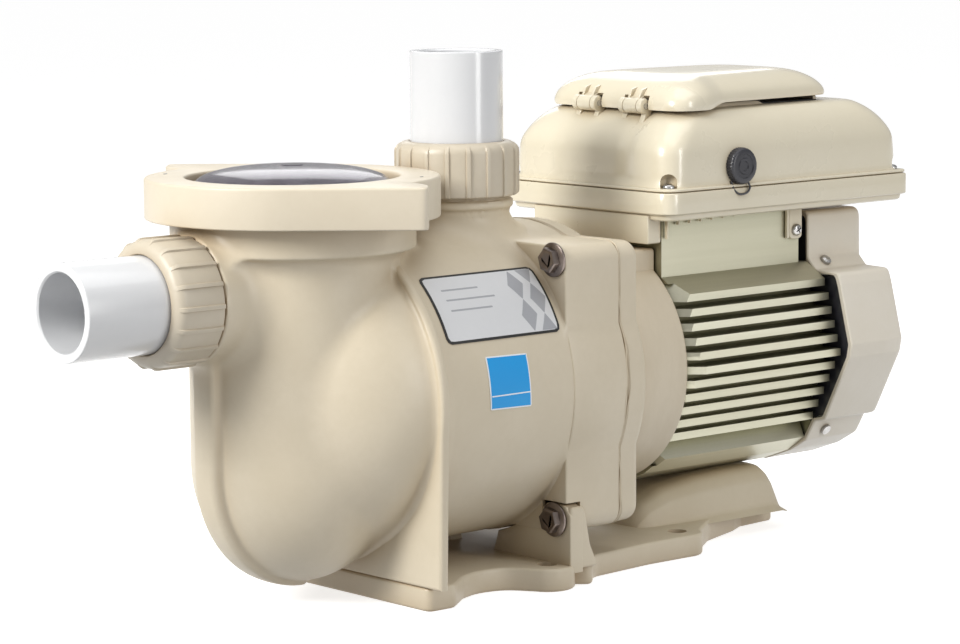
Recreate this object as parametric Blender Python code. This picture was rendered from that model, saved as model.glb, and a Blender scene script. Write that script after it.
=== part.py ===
"""A pool pump: strainer pot and volute in one moulding, seal plate, finned motor, speed drive and moulded foot.

The shaft runs along X, with the suction union at -X and the fan at +X. Z is up. The origin is on the floor,
under the axis of the discharge port. Every size is in metres.
"""

import math

import bmesh
import bpy
from mathutils import Matrix, Vector

# ---- driving dimensions -------------------------------------------------------------------------------------
GAP = 0.0004  # between pieces that touch
RUNNING_GAP = 0.0006  # between a turning piece and a fixed one

SHAFT_Z = 0.127  # height of the shaft
SUCTION_Z = 0.197  # height of the suction port's axis
POT_X = -0.135  # axis of the strainer pot

POT_RADIUS = 0.066
POT_WALL = 0.005
POT_FLOOR_Z = 0.013  # underside of the pot's bowl
POT_BOWL_Z = 0.090  # where the bowl's ellipse meets the straight wall
COLLAR_RADIUS = 0.0765  # the pot's mouth, under the clamp ring
COLLAR_Z = 0.2255
POT_TOP_Z = 0.2525
MOUTH_RADIUS = 0.0662  # inside the collar, above the basket's ledge
LEDGE_Z = 0.229
KEEL_HALF = 0.010  # half the thickness of the rib down the front of the pot
KEEL_PROUD = 0.008

DOME_X = -0.100  # the bulge of the volute: half an ellipsoid, seated on the web
DOME_LENGTH = 0.082
DOME_RADIUS = 0.095
WEB_RADIUS = 0.1045  # the upright web in front of the drum
WEB_THICKNESS = 0.007
DRUM_RADIUS = 0.100
DRUM_WALL = 0.013
FLANGE_FRONT_X = 0.010
FLANGE_RADIUS = 0.1012  # the flange stands just proud of the drum
JOINT_X = 0.057  # where the seal plate meets the housing
SQUARE_HALF = 0.0925  # the bolted flange
SQUARE_CORNER = 0.011
SEAL_PLATE_THICKNESS = 0.0187

BOLT_Y = 0.082
BOLT_Z = 0.0835  # above and below the shaft
BOLT_RADIUS = 0.0045
BOLT_HOLE_RADIUS = 0.005
BOLT_WASHER_RADIUS = 0.011
BOLT_HEAD_ACROSS = 0.0145
BOLT_HEAD_HEIGHT = 0.007

PIPE_RADIUS = 0.03015  # two-inch spigot
PIPE_BORE_RADIUS = 0.02425
PORT_BORE_RADIUS = 0.025
SPIGOT_RADIUS = 0.034  # the port's threaded end
NUT_RADIUS = 0.0397
NUT_RIB_HEIGHT = 0.0010
NUT_RIBS = 18
NUT_LENGTH = 0.035
NUT_LIP = 0.006
NUT_CLEARANCE = 0.0010
TAIL_LENGTH = 0.058  # how far the pipe stands out of its nut
TAIL_FLANGE = 0.0045
UNION_SEAL = 0.0013  # section radius of the union's O-ring
SUCTION_NUT_BACK_X = -0.217  # where the suction nut ends, against the pot
SUCTION_NUT_X = SUCTION_NUT_BACK_X - NUT_LENGTH  # its outer face
DISCHARGE_NUT_LOW_Z = 0.2475  # underside of the discharge nut
DISCHARGE_NUT_Z = DISCHARGE_NUT_LOW_Z + NUT_LENGTH  # its outer face
SUCTION_NECK_RADIUS = 0.037
DISCHARGE_NECK_RADIUS = 0.0295

RING_RADIUS = 0.092
RING_OPENING = 0.0665
RING_LOW_Z = 0.2425
RING_TOP_Z = 0.268
RING_LIP = 0.0055
LID_FLANGE = 0.0045
LID_FLANGE_RADIUS = 0.0755
LID_RISE = 0.0125
LID_WALL = 0.004
LID_SEAL = 0.0021
EAR_LENGTH = 0.086  # how far each ear runs out along the ring's tangent
EAR_RADIUS = 0.007
EAR_ANGLE = -131.4  # where the first ear leaves the ring, in degrees from +X

BASKET_RADIUS = 0.0545
BASKET_LIP_RADIUS = 0.0640
BASKET_WALL = 0.0025
BASKET_FLOOR_Z = 0.062
BASKET_SLOTS = 16

SHAFT_RADIUS = 0.008
SHAFT_NOSE_RADIUS = 0.006
SHAFT_REAR_X = 0.305
IMPELLER_RADIUS = 0.055
IMPELLER_EYE = 0.0222
IMPELLER_VANES = 6
DIFFUSER_RADIUS = 0.080
DIFFUSER_WALL = 0.003
BEARING_RADIUS = 0.0205
BEARING_WIDTH = 0.0125

BELL_RADIUS = 0.082
BELL_REAR_X = 0.130
FRAME_REAR_X = 0.275
STATOR_RADIUS = 0.062
FRAME_BARREL = 0.073
ROTOR_RADIUS = 0.040
STATOR_X = (0.152, 0.240)
FIN_COUNT = 11
FIN_PITCH = 0.0094
FIN_THICKNESS = 0.0050
FIN_REACH = 0.088  # tip of the middle fin
FIN_SLOPE_UP = 0.30
FIN_SLOPE_DOWN = 0.54
MOTOR_BLOCK_HALF = 0.0558  # the flat-sided block above the fins
MOTOR_BLOCK_TOP = 0.2245
MOTOR_BLOCK_REAR_X = 0.262
COVER_FRONT_X = 0.271
COVER_REAR_X = 0.327
COVER_WALL = 0.003

TRAY_X = (0.117, 0.352)
TRAY_Y = (-0.076, 0.086)
TRAY_Z = (0.2255, 0.2445)
TRAY_WALL = 0.004
DRIVE_TOP_Z = 0.297
COVER_INSET = 0.003  # the drive cover's foot, inside the tray's edge
LID_X = (0.1395, 0.302)
LID_Y = (-0.064, 0.068)
LID_TOP_Z = 0.320
HINGE_X = 0.1385
HINGE_Z = 0.2992
HINGE_Y = (-0.0215, 0.0235)
PORT_X = 0.186
PORT_Z = 0.259
PORT_OUT_Y = TRAY_Y[0] - 0.0040

FOOT_HEIGHT = 0.015

LOW_SEAT_DEPTH = 0.012
DRAIN_RADIUS = 0.0085
DRAIN_HEAD_RADIUS = 0.0135
DRAIN_HEAD = 0.006
DRAIN_SEAT = 0.0045
IMPELLER_X = 0.012  # front of the impeller's rim
SHROUD = 0.002
HUB_RADIUS = 0.013
HUB_STEP_X = 0.049  # where the shaft steps down to its threaded nose
NOSE_BORE = 0.0238
DIFFUSER_FACE_X = -0.006
DIFFUSER_REAR_X = 0.0492
SPIGOT_PLATE_X = 0.050  # front of the seal plate's register
SEAL_SEAT_RADIUS = 0.019
SEAL_SEAT_X = 0.0645
SEAL_REGISTER = 0.0823
BEARING_WALL = 0.0048
FRONT_BEARING_X = 0.0830
REAR_BEARING_X = 0.2565
COVER_SCREW_X = 0.2855
WINDING_LENGTH = 0.013
TAB_X = 0.2565  # a tab at each side hangs from the tray over the motor's block
TAB_Z = 0.2100
TAB_THICKNESS = 0.0022
SCREW_KEEP = 0.030  # corner radius inside the drive cover, which leaves its corners solid for the screws
SCREW_ROOM = 0.0056  # the niche round each screw, in the drive cover's corner
SCREW_ROOM_HEIGHT = 0.011
PANEL_HALF = 0.046
BUTTON_PLACES = ((0.199, -0.030), (0.199, -0.010), (0.199, 0.010), (0.199, 0.030))
BUTTON_HALF = 0.0062
CRADLE_Z = 0.0440

BEIGE = (0.72, 0.65, 0.52)


# ---- materials ----------------------------------------------------------------------------------------------
def material(name, colour, roughness, metallic=0.0):
    made = bpy.data.materials.get(name)
    if made:
        return made
    made = bpy.data.materials.new(name)
    made.use_nodes = True
    shader = made.node_tree.nodes["Principled BSDF"]
    shader.inputs["Base Color"].default_value = (*colour, 1)
    shader.inputs["Roughness"].default_value = roughness
    shader.inputs["Metallic"].default_value = metallic
    return made


def housing_plastic():
    return material("housing_plastic", BEIGE, 0.45)


def painted_metal():
    return material("painted_metal", (0.74, 0.69, 0.56), 0.3)


def white_pvc():
    return material("white_pvc", (0.9, 0.9, 0.9), 0.15)


def bare_aluminium():
    return material("bare_aluminium", (0.62, 0.62, 0.55), 0.35, 1.0)


def steel():
    return material("steel", (0.55, 0.53, 0.5), 0.25, 1.0)


def black_rubber():
    return material("black_rubber", (0.02, 0.02, 0.02), 0.7)


def black_plastic():
    return material("black_plastic", (0.03, 0.03, 0.035), 0.4)


def smoked_clear():
    return material("smoked_clear", (0.45, 0.44, 0.48), 0.1)


def ceramic():
    return material("ceramic", (0.85, 0.84, 0.8), 0.3)


def board_green():
    return material("board_green", (0.05, 0.22, 0.1), 0.5)


# ---- modelling helpers --------------------------------------------------------------------------------------
def place(axis, along, across, up):
    """A point from its place along an axis and its two places across it, in X, Y, Z order."""
    if axis == "X":
        return (along, across, up)
    if axis == "Y":
        return (across, along, up)
    return (across, up, along)


def add_mesh(name, mesh, finish, smooth=35):
    made = bpy.data.objects.new(name, mesh)
    bpy.context.scene.collection.objects.link(made)
    if finish:
        mesh.materials.append(finish())
    mesh.shade_smooth()
    mesh.set_sharp_from_angle(angle=math.radians(smooth))
    return made


def mesh_of(name, shape):
    bmesh.ops.recalc_face_normals(shape, faces=shape.faces)
    mesh = bpy.data.meshes.new(name)
    shape.to_mesh(mesh)
    shape.free()
    return mesh


def turned(name, profile, axis, centre, finish=None, steps=28):
    """A solid of revolution, with its origin at the centre given.

    The profile is (place along the axis, radius), and its ends meet or lie on the axis.
    """
    shape = bmesh.new()
    rings = []
    for along, radius in profile:
        if radius < 1e-7:
            rings.append([shape.verts.new(place(axis, along, 0, 0))] * steps)
            continue
        ring = []
        for step in range(steps):
            turn = 2 * math.pi * (step + 0.5) / steps
            ring.append(shape.verts.new(place(axis, along, radius * math.cos(turn), radius * math.sin(turn))))
        rings.append(ring)
    pairs = list(zip(rings, rings[1:]))
    if profile[0][1] > 1e-7:
        pairs.append((rings[-1], rings[0]))
    for first, second in pairs:
        for step in range(steps):
            after = (step + 1) % steps
            corners = [first[step], first[after], second[after], second[step]]
            corners = list(dict.fromkeys(corners))
            if len(corners) > 2:
                shape.faces.new(corners)
    made = add_mesh(name, mesh_of(name, shape), finish)
    made.location = centre
    return made


def extruded(name, outline, axis, low, high, finish=None):
    """A prism. The outline is (y, z) along X, (x, z) along Y and (x, y) along Z."""
    shape = bmesh.new()
    ends = [[shape.verts.new(place(axis, along, a, b)) for a, b in outline] for along in (low, high)]
    shape.faces.new(ends[0])
    shape.faces.new(ends[1][::-1])
    count = len(outline)
    for step in range(count):
        after = (step + 1) % count
        shape.faces.new([ends[0][step], ends[0][after], ends[1][after], ends[1][step]])
    return add_mesh(name, mesh_of(name, shape), finish)


def lofted(name, levels, finish=None):
    """A solid through closed loops of points, one above the other, with a flat cap at each end."""
    shape = bmesh.new()
    loops = [[shape.verts.new(point) for point in level] for level in levels]
    count = len(loops[0])
    for first, second in zip(loops, loops[1:]):
        for step in range(count):
            after = (step + 1) % count
            shape.faces.new([first[step], first[after], second[after], second[step]])
    shape.faces.new(loops[0])
    shape.faces.new(loops[-1][::-1])
    return add_mesh(name, mesh_of(name, shape), finish)


def block(name, low, high, finish=None):
    outline = rectangle(low[0], high[0], low[1], high[1])
    return extruded(name, outline, "Z", low[2], high[2], finish)


def rod(name, axis, centre, radius, low, high, finish=None, steps=16):
    """A round bar along an axis. Low and high are places along it."""
    along = "XYZ".index(axis)
    middle = Vector(centre)
    middle[along] = 0
    return turned(name, [(low, 0), (low, radius), (high, radius), (high, 0)], axis, middle, finish, steps)


def torus(name, axis, centre, radius, section, finish, steps=24, sides=5):
    profile = []
    for side in range(sides):
        turn = 2 * math.pi * (side + 0.5) / sides
        profile.append((section * math.sin(turn), radius + section * math.cos(turn)))
    return turned(name, profile, axis, centre, finish, steps)


def boolean(base, other, operation):
    change = base.modifiers.new(operation.title() + " " + other.name, "BOOLEAN")
    change.operation = operation
    change.object = other
    change.solver = "EXACT"
    other.hide_render = True
    other.display_type = "WIRE"
    return base


def cut(base, *others):
    for other in others:
        boolean(base, other, "DIFFERENCE")
    return base


def weld(made):
    """Closes the hairline steps that a long row of cuts can leave."""
    change = made.modifiers.new("Weld", "WELD")
    change.merge_threshold = 0.00002
    return made


def join(base, *others):
    for other in others:
        boolean(base, other, "UNION")
    return base


# ---- outlines -----------------------------------------------------------------------------------------------
def rectangle(low_a, high_a, low_b, high_b):
    return [(low_a, low_b), (high_a, low_b), (high_a, high_b), (low_a, high_b)]


def arc(centre, radius, start, end, steps):
    """Points on a circle, from one angle to another, in degrees."""
    points = []
    for step in range(steps + 1):
        turn = math.radians(start + (end - start) * step / steps)
        points.append((centre[0] + radius * math.cos(turn), centre[1] + radius * math.sin(turn)))
    return points


def rounded_rectangle(low_a, high_a, low_b, high_b, radius, steps=5):
    corners = (
        (high_a - radius, high_b - radius, 0),
        (low_a + radius, high_b - radius, 90),
        (low_a + radius, low_b + radius, 180),
        (high_a - radius, low_b + radius, 270),
    )
    points = []
    for a, b, start in corners:
        points += arc((a, b), radius, start, start + 90, steps)
    return points


def flange_outline(half, corner, bulge):
    """A rounded square about the shaft whose sides bulge where the drum's circle is the larger."""
    points = []
    reach = math.sqrt(bulge**2 - half**2)
    turn = math.degrees(math.atan2(reach, half))
    for quarter in range(4):
        spin = Matrix.Rotation(math.radians(90 * quarter), 2)
        side = arc((0, 0), bulge, -turn, turn, 4)
        round_corner = arc((half - corner, half - corner), corner, 0, 90, 3)
        for point in side + round_corner:
            across, up = spin @ Vector(point)
            points.append((across, up + SHAFT_Z))
    return points


def mirrored(side):
    """A closed outline from its half with positive first coordinate, listed from top to bottom."""
    return side + [(-a, b) for a, b in reversed(side)]


# ---- pump housing -------------------------------------------------------------------------------------------
def bowl_profile(radius, bottom, steps=6):
    """The pot's bowl, from its lowest point on the axis up to its straight wall."""
    depth = POT_BOWL_Z - bottom
    points = []
    for step in range(steps + 1):
        turn = math.radians(90 * step / steps)
        points.append((POT_BOWL_Z - depth * math.cos(turn), radius * math.sin(turn)))
    return points


def pot_outside(name, grow=0.0):
    profile = bowl_profile(POT_RADIUS + grow, POT_FLOOR_Z - grow)
    profile += [(0.206, POT_RADIUS + 0.001 + grow), (0.217, 0.0695 + grow), (COLLAR_Z, COLLAR_RADIUS + grow)]
    profile += [(POT_TOP_Z, COLLAR_RADIUS + grow), (POT_TOP_Z, 0)]
    return turned(name, profile, "Z", (POT_X, 0, 0), housing_plastic)


def pot_inside():
    inner = POT_RADIUS - POT_WALL
    profile = bowl_profile(inner, POT_FLOOR_Z + POT_WALL)
    profile += [(LEDGE_Z, inner), (LEDGE_Z, MOUTH_RADIUS), (POT_TOP_Z + 0.01, MOUTH_RADIUS), (POT_TOP_Z + 0.01, 0)]
    return turned("pot_cavity", profile, "Z", (POT_X, 0, 0), steps=26)


def keel():
    """The rib down the middle of the pot's front, which follows the bowl under it."""
    reach = POT_RADIUS + KEEL_PROUD
    depth = POT_BOWL_Z - POT_FLOOR_Z + 0.001
    outline = [(POT_X - 0.02, SUCTION_Z), (POT_X - reach, SUCTION_Z), (POT_X - reach, POT_BOWL_Z)]
    for step in range(1, 7):
        turn = math.radians(80 * step / 6)
        outline.append((POT_X - reach * math.cos(turn), POT_BOWL_Z - depth * math.sin(turn)))
    outline.append((POT_X - 0.02, POT_BOWL_Z))
    return extruded("pot_keel", outline, "Y", -KEEL_HALF, KEEL_HALF)


def web():
    """The upright web that stands on the foot and carries the front of the drum."""
    foot = FOOT_HEIGHT + GAP
    right = [(WEB_RADIUS - 0.003, foot)] + arc((0, SHAFT_Z), WEB_RADIUS, 0, 180, 12) + [(-WEB_RADIUS + 0.003, foot)]
    return extruded("web", right, "X", DOME_X - WEB_THICKNESS / 2, DOME_X + WEB_THICKNESS / 2)


def dome_profile(length, radius, steps=6):
    points = []
    for step in range(steps + 1):
        turn = math.radians(90 * step / steps)
        points.append((DOME_X - length * math.cos(turn), radius * math.sin(turn)))
    return points


def shaft_centre():
    return (0, 0, SHAFT_Z)


def volute_cavity():
    """The room for the diffuser. It leaves the pot's own wall standing where the two shapes cross."""
    inner = DRUM_RADIUS - DRUM_WALL
    profile = dome_profile(DOME_LENGTH - 0.007, inner)
    profile += [(JOINT_X + 0.01, inner), (JOINT_X + 0.01, 0)]
    cavity = turned("volute_cavity", profile, "X", shaft_centre())
    return cut(cavity, pot_outside("pot_wall_keep", 0.0011))


def bolt_places():
    return [(side * BOLT_Y, SHAFT_Z + level * BOLT_Z) for level in (1, -1) for side in (-1, 1)]


def pump_housing():
    housing = pot_outside("pump_housing")
    drum_profile = dome_profile(DOME_LENGTH, DOME_RADIUS)
    drum_profile += [(DOME_X, DRUM_RADIUS), (JOINT_X - 0.02, DRUM_RADIUS), (JOINT_X - 0.02, 0)]
    drum = turned("drum", drum_profile, "X", shaft_centre(), steps=30)
    flange = extruded("flange", flange_outline(SQUARE_HALF, SQUARE_CORNER, FLANGE_RADIUS), "X", FLANGE_FRONT_X, JOINT_X)
    suction_end = SUCTION_NUT_X + spigot_depth()
    suction_neck = turned(
        "suction_neck",
        [
            (suction_end, 0),
            (suction_end, SPIGOT_RADIUS),
            (SUCTION_NUT_X + NUT_LENGTH + 0.002, SPIGOT_RADIUS),
            (SUCTION_NUT_X + NUT_LENGTH + 0.002, SUCTION_NECK_RADIUS),
            (POT_X - 0.03, SUCTION_NECK_RADIUS),
            (POT_X - 0.03, 0),
        ],
        "X",
        (0, 0, SUCTION_Z),
    )
    discharge_end = DISCHARGE_NUT_Z - spigot_depth()
    discharge_neck = turned(
        "discharge_neck",
        [
            (SHAFT_Z + DRUM_RADIUS - DRUM_WALL / 2, 0),
            (SHAFT_Z + DRUM_RADIUS - DRUM_WALL / 2, DISCHARGE_NECK_RADIUS + 0.010),
            (SHAFT_Z + DRUM_RADIUS + 0.004, DISCHARGE_NECK_RADIUS + 0.003),
            (SHAFT_Z + DRUM_RADIUS + 0.010, DISCHARGE_NECK_RADIUS),
            (DISCHARGE_NUT_Z - NUT_LENGTH - 0.002, DISCHARGE_NECK_RADIUS),
            (DISCHARGE_NUT_Z - NUT_LENGTH - 0.002, SPIGOT_RADIUS),
            (discharge_end, SPIGOT_RADIUS),
            (discharge_end, 0),
        ],
        "Z",
        (0, 0, 0),
    )
    join(housing, drum, flange, web(), keel(), suction_neck, discharge_neck)
    for number, (place_x, y, z) in enumerate(drain_places()):
        join(housing, rod(f"drain_boss_{number}", "Y", (place_x, 0, z), 0.0128, y - 0.010, y + DRAIN_SEAT - GAP))
    cut(housing, pot_inside(), volute_cavity())
    for number, (place_x, y, z) in enumerate(drain_places()):
        bore = DRAIN_RADIUS + NUT_CLEARANCE / 2
        cut(housing, rod(f"drain_bore_{number}", "Y", (place_x, 0, z), bore, y - 0.022, y + 0.02))
    suction_bore = rod("suction_bore", "X", (0, 0, SUCTION_Z), PORT_BORE_RADIUS, suction_end - 0.01, POT_X, steps=24)
    discharge_bore = rod("discharge_bore", "Z", (0, 0, 0), PORT_BORE_RADIUS, SHAFT_Z, discharge_end + 0.01, steps=24)
    eye = rod("eye_bore", "X", shaft_centre(), diffuser_nose() + RUNNING_GAP, POT_X, DOME_X + 0.06, steps=24)
    cut(housing, suction_bore, discharge_bore, eye)
    for number, (y, z) in enumerate(bolt_places()):
        cut(housing, rod(f"bolt_hole_{number}", "X", (0, y, z), BOLT_HOLE_RADIUS, -0.02, JOINT_X + 0.01, steps=10))
    for side in (-1, 1):
        cut(housing, foot_recess(side))
    return weld(housing)


def foot_recess(side):
    """The foot's bracket stands in this recess, between a lower bolt's head and the flange."""
    near, far = sorted((side * (BOLT_Y - 0.0120), side * (SQUARE_HALF + 0.01)))
    high = SHAFT_Z - BOLT_Z + 0.0115
    return block(f"foot_recess_{side + 1}", (0.0, near, 0.0), (FLANGE_FRONT_X + LOW_SEAT_DEPTH, far, high))


# ---- drain plugs --------------------------------------------------------------------------------------------


def drain_places():
    """Where the plugs screw in, on the side away from the labels: axis X, wall face Y and height."""
    return [(POT_X, 0.0570, 0.045), (-0.030, 0.0900, 0.078)]


def drain_plug(name, place_x, y, z):
    """A threaded stem, a round flange and a wing to turn it by."""
    seat = y + DRAIN_SEAT
    plug = turned(
        name,
        [
            (y - 0.0075, 0),
            (y - 0.0075, DRAIN_RADIUS),
            (seat, DRAIN_RADIUS),
            (seat, DRAIN_HEAD_RADIUS),
            (seat + DRAIN_HEAD, DRAIN_HEAD_RADIUS),
            (seat + DRAIN_HEAD, 0),
        ],
        "Y",
        (place_x, 0, z),
        black_plastic,
        18,
    )
    half = DRAIN_HEAD_RADIUS - 0.002
    wing = block(
        name + "_wing",
        (place_x - half, seat + DRAIN_HEAD - 0.001, z - 0.0022),
        (place_x + half, seat + DRAIN_HEAD + 0.009, z + 0.0022),
    )
    return join(plug, wing)


# ---- pieces on the pot --------------------------------------------------------------------------------------
def lid_flange_z():
    return POT_TOP_Z + 2 * LID_SEAL + 2 * GAP


def clamp_ring():
    lip_low = RING_TOP_Z - RING_LIP
    skirt = COLLAR_RADIUS + 0.0035
    ring = turned(
        "clamp_ring",
        [
            (RING_LOW_Z, skirt),
            (RING_LOW_Z, RING_RADIUS - 0.001),
            (RING_LOW_Z + 0.001, RING_RADIUS),
            (RING_TOP_Z - 0.0015, RING_RADIUS),
            (RING_TOP_Z, RING_RADIUS - 0.0015),
            (RING_TOP_Z, RING_OPENING + 0.001),
            (RING_TOP_Z - 0.001, RING_OPENING),
            (lip_low, RING_OPENING),
            (lip_low, skirt),
        ],
        "Z",
        (POT_X, 0, 0),
        housing_plastic,
        32,
    )
    for number, turn in enumerate((EAR_ANGLE, EAR_ANGLE + 180)):
        join(ring, ring_ear(number, turn))
    return ring


def ring_ear(number, angle):
    """A solid ear that runs straight on from the ring along its tangent, so that a hand can turn it."""
    outline = [(0.0, RING_RADIUS)]
    outline += arc((EAR_RADIUS - EAR_LENGTH, RING_RADIUS - EAR_RADIUS), EAR_RADIUS, 90, 180, 4)
    seat = RING_RADIUS - 0.006
    for turned_on, radius in ((50, seat + 0.024), (54, seat + 0.004), (54, seat), (30, seat), (5, seat)):
        away = math.radians(90 + turned_on)
        outline.append((radius * math.cos(away), radius * math.sin(away)))
    turn = Matrix.Rotation(math.radians(angle - 90), 2)
    points = []
    for point in outline:
        along, out = turn @ Vector(point)
        points.append((along + POT_X, out))
    return extruded(f"ear_{number}", points, "Z", RING_LOW_Z + 0.0008, RING_TOP_Z - 0.0005)


def pot_lid():
    low = lid_flange_z()
    inner, rise = RING_OPENING - 0.005, LID_RISE
    dome = inner - LID_WALL
    top = low + LID_FLANGE
    profile = [(low, dome), (low, LID_FLANGE_RADIUS), (top, LID_FLANGE_RADIUS), (top, inner)]
    outside, inside = [], []
    for step in range(1, 5):
        turn = math.radians(90 * step / 5)
        outside.append((top + rise * math.sin(turn), inner * math.cos(turn) ** 0.8))
        inside.append((top - LID_WALL + rise * math.sin(turn), dome * math.cos(turn) ** 0.8))
    profile = [(top - LID_WALL + rise, 0)] + inside[::-1] + profile + outside + [(top + rise, 0)]
    return turned("pot_lid", profile, "Z", (POT_X, 0, 0), smoked_clear, 28)


def lid_o_ring():
    centre = (POT_X, 0, POT_TOP_Z + GAP + LID_SEAL)
    return torus("lid_o_ring", "Z", centre, (MOUTH_RADIUS + COLLAR_RADIUS) / 2, LID_SEAL, black_rubber)


def strainer_basket():
    """A tapered basket that hangs by its lip on the pot's ledge, with tall slots round it."""
    lip = LEDGE_Z + GAP
    foot = BASKET_RADIUS - 0.008
    basket = turned(
        "strainer_basket",
        [
            (BASKET_FLOOR_Z, 0),
            (BASKET_FLOOR_Z, foot),
            (lip, BASKET_RADIUS),
            (lip, BASKET_LIP_RADIUS),
            (lip + 0.003, BASKET_LIP_RADIUS),
            (lip + 0.003, BASKET_RADIUS - BASKET_WALL),
            (BASKET_FLOOR_Z + BASKET_WALL, foot - BASKET_WALL),
            (BASKET_FLOOR_Z + BASKET_WALL, 0),
        ],
        "Z",
        (POT_X, 0, 0),
        white_pvc,
        24,
    )
    slots = slot_star()
    handle = basket_handle(lip)
    join(cut(basket, slots), handle)
    return basket


def slot_star():
    """One cutter for every slot: thin blades that meet in the middle, above the basket's floor."""
    reach = BASKET_RADIUS + 0.004
    half = 0.0022
    outline = []
    inner = half / math.sin(math.pi / BASKET_SLOTS)
    for slot in range(BASKET_SLOTS):
        turn = 2 * math.pi * slot / BASKET_SLOTS
        out = Vector((math.cos(turn), math.sin(turn)))
        side = Vector((-out.y, out.x)) * half
        between = turn + math.pi / BASKET_SLOTS
        for point in (out * reach - side, out * reach + side):
            outline.append((point.x + POT_X, point.y))
        outline.append((inner * math.cos(between) + POT_X, inner * math.sin(between)))
    return extruded("basket_slots", outline, "Z", BASKET_FLOOR_Z + 0.012, LEDGE_Z - 0.016)


def basket_handle(lip):
    """A flat bail that stands across the basket's mouth."""
    outer = BASKET_RADIUS - 0.0008
    inner = outer - 0.006
    outline = arc((0, 0), 1, 0, 180, 8)
    outer_arc = [(POT_X + outer * a, lip - 0.008 + 0.024 * b) for a, b in outline]
    inner_arc = [(POT_X + inner * a, lip - 0.008 + 0.019 * b) for a, b in reversed(outline)]
    return extruded("basket_bail", outer_arc + inner_arc, "Y", -0.004, 0.004)


# ---- unions -------------------------------------------------------------------------------------------------
def spigot_depth():
    """From a nut's outer face to the end of the port inside it."""
    return NUT_LIP + TAIL_FLANGE + 2 * UNION_SEAL + 3 * GAP


def union_frame(axis, face, sign, across):
    """Turns a depth below the nut's outer face into a place along the axis, and gives the axis's own place."""
    centre = Vector((0, 0, 0))
    if axis == "X":
        centre.z = across
    return (lambda depth: face + sign * depth), centre


def union(prefix, axis, face, sign, across):
    at, centre = union_frame(axis, face, sign, across)
    thread = SPIGOT_RADIUS + NUT_CLEARANCE
    hole = PIPE_RADIUS + GAP
    nut = turned(
        prefix + "_nut",
        [
            (at(0), hole),
            (at(0), NUT_RADIUS - 0.003),
            (at(0.003), NUT_RADIUS),
            (at(NUT_LENGTH - 0.0015), NUT_RADIUS),
            (at(NUT_LENGTH), NUT_RADIUS - 0.0015),
            (at(NUT_LENGTH), thread),
            (at(NUT_LIP), thread),
            (at(NUT_LIP), hole),
        ],
        axis,
        centre,
        housing_plastic,
        28,
    )
    for number in range(NUT_RIBS):
        join(nut, nut_rib(f"{prefix}_rib_{number}", axis, at, centre, 360 * number / NUT_RIBS))
    flange_top = NUT_LIP + GAP
    tail = turned(
        prefix + "_tailpiece",
        [
            (at(-TAIL_LENGTH), PIPE_BORE_RADIUS + 0.0005),
            (at(-TAIL_LENGTH), PIPE_RADIUS),
            (at(flange_top), PIPE_RADIUS),
            (at(flange_top), SPIGOT_RADIUS),
            (at(flange_top + TAIL_FLANGE), SPIGOT_RADIUS),
            (at(flange_top + TAIL_FLANGE), PORT_BORE_RADIUS - 0.003),
            (at(flange_top - 0.008), PORT_BORE_RADIUS - 0.003),
            (at(flange_top - 0.008), PIPE_BORE_RADIUS),
        ],
        axis,
        centre,
        white_pvc,
        28,
    )
    middle = Vector(centre)
    middle["XYZ".index(axis)] = at(flange_top + TAIL_FLANGE + GAP + UNION_SEAL)
    seal = torus(prefix + "_o_ring", axis, middle, SPIGOT_RADIUS - 0.004, UNION_SEAL, black_rubber)
    return nut, tail, seal


def nut_rib(name, axis, at, centre, angle):
    """A square rib along the nut, turned round its axis."""
    half, sunk = 0.0007, 0.001
    low, high = sorted((at(0.004), at(NUT_LENGTH - 0.002)))
    shape = bmesh.new()
    bmesh.ops.create_cube(shape, size=1)
    height = NUT_RIB_HEIGHT + sunk
    bmesh.ops.scale(shape, verts=shape.verts, vec=place(axis, high - low, 2 * half, height))
    bmesh.ops.translate(shape, verts=shape.verts, vec=place(axis, (low + high) / 2, 0, NUT_RADIUS - sunk + height / 2))
    bmesh.ops.rotate(shape, verts=shape.verts, cent=(0, 0, 0), matrix=Matrix.Rotation(math.radians(angle), 3, axis))
    bmesh.ops.translate(shape, verts=shape.verts, vec=centre)
    return add_mesh(name, mesh_of(name, shape), None)


# ---- wet end, inside the volute -----------------------------------------------------------------------------
def diffuser_nose():
    return 0.026


def diffuser():
    rim = DIFFUSER_RADIUS
    body = turned(
        "diffuser",
        [
            (POT_X + 0.055, NOSE_BORE),
            (POT_X + 0.055, diffuser_nose()),
            (DIFFUSER_FACE_X - 0.012, diffuser_nose()),
            (DIFFUSER_FACE_X, diffuser_nose() + 0.010),
            (DIFFUSER_FACE_X + 0.004, rim),
            (DIFFUSER_REAR_X, rim),
            (DIFFUSER_REAR_X, rim - DIFFUSER_WALL),
            (DIFFUSER_FACE_X + 0.007, rim - DIFFUSER_WALL),
            (DIFFUSER_FACE_X + 0.003, diffuser_nose() + 0.010),
            (DIFFUSER_FACE_X - 0.008, NOSE_BORE),
        ],
        "X",
        shaft_centre(),
        black_plastic,
        24,
    )
    windows = []
    for number in range(6):
        windows.append(diffuser_window(number, 60 * number + 30))
    return cut(body, *windows)


def diffuser_window(number, angle):
    shape = bmesh.new()
    bmesh.ops.create_cube(shape, size=1)
    bmesh.ops.scale(shape, verts=shape.verts, vec=(0.022, 0.044, 0.030))
    bmesh.ops.translate(shape, verts=shape.verts, vec=(0.030, 0, DIFFUSER_RADIUS))
    bmesh.ops.rotate(shape, verts=shape.verts, cent=(0, 0, 0), matrix=Matrix.Rotation(math.radians(angle), 3, "X"))
    bmesh.ops.translate(shape, verts=shape.verts, vec=shaft_centre())
    return add_mesh(f"diffuser_window_{number}", mesh_of(f"diffuser_window_{number}", shape), None)


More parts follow.
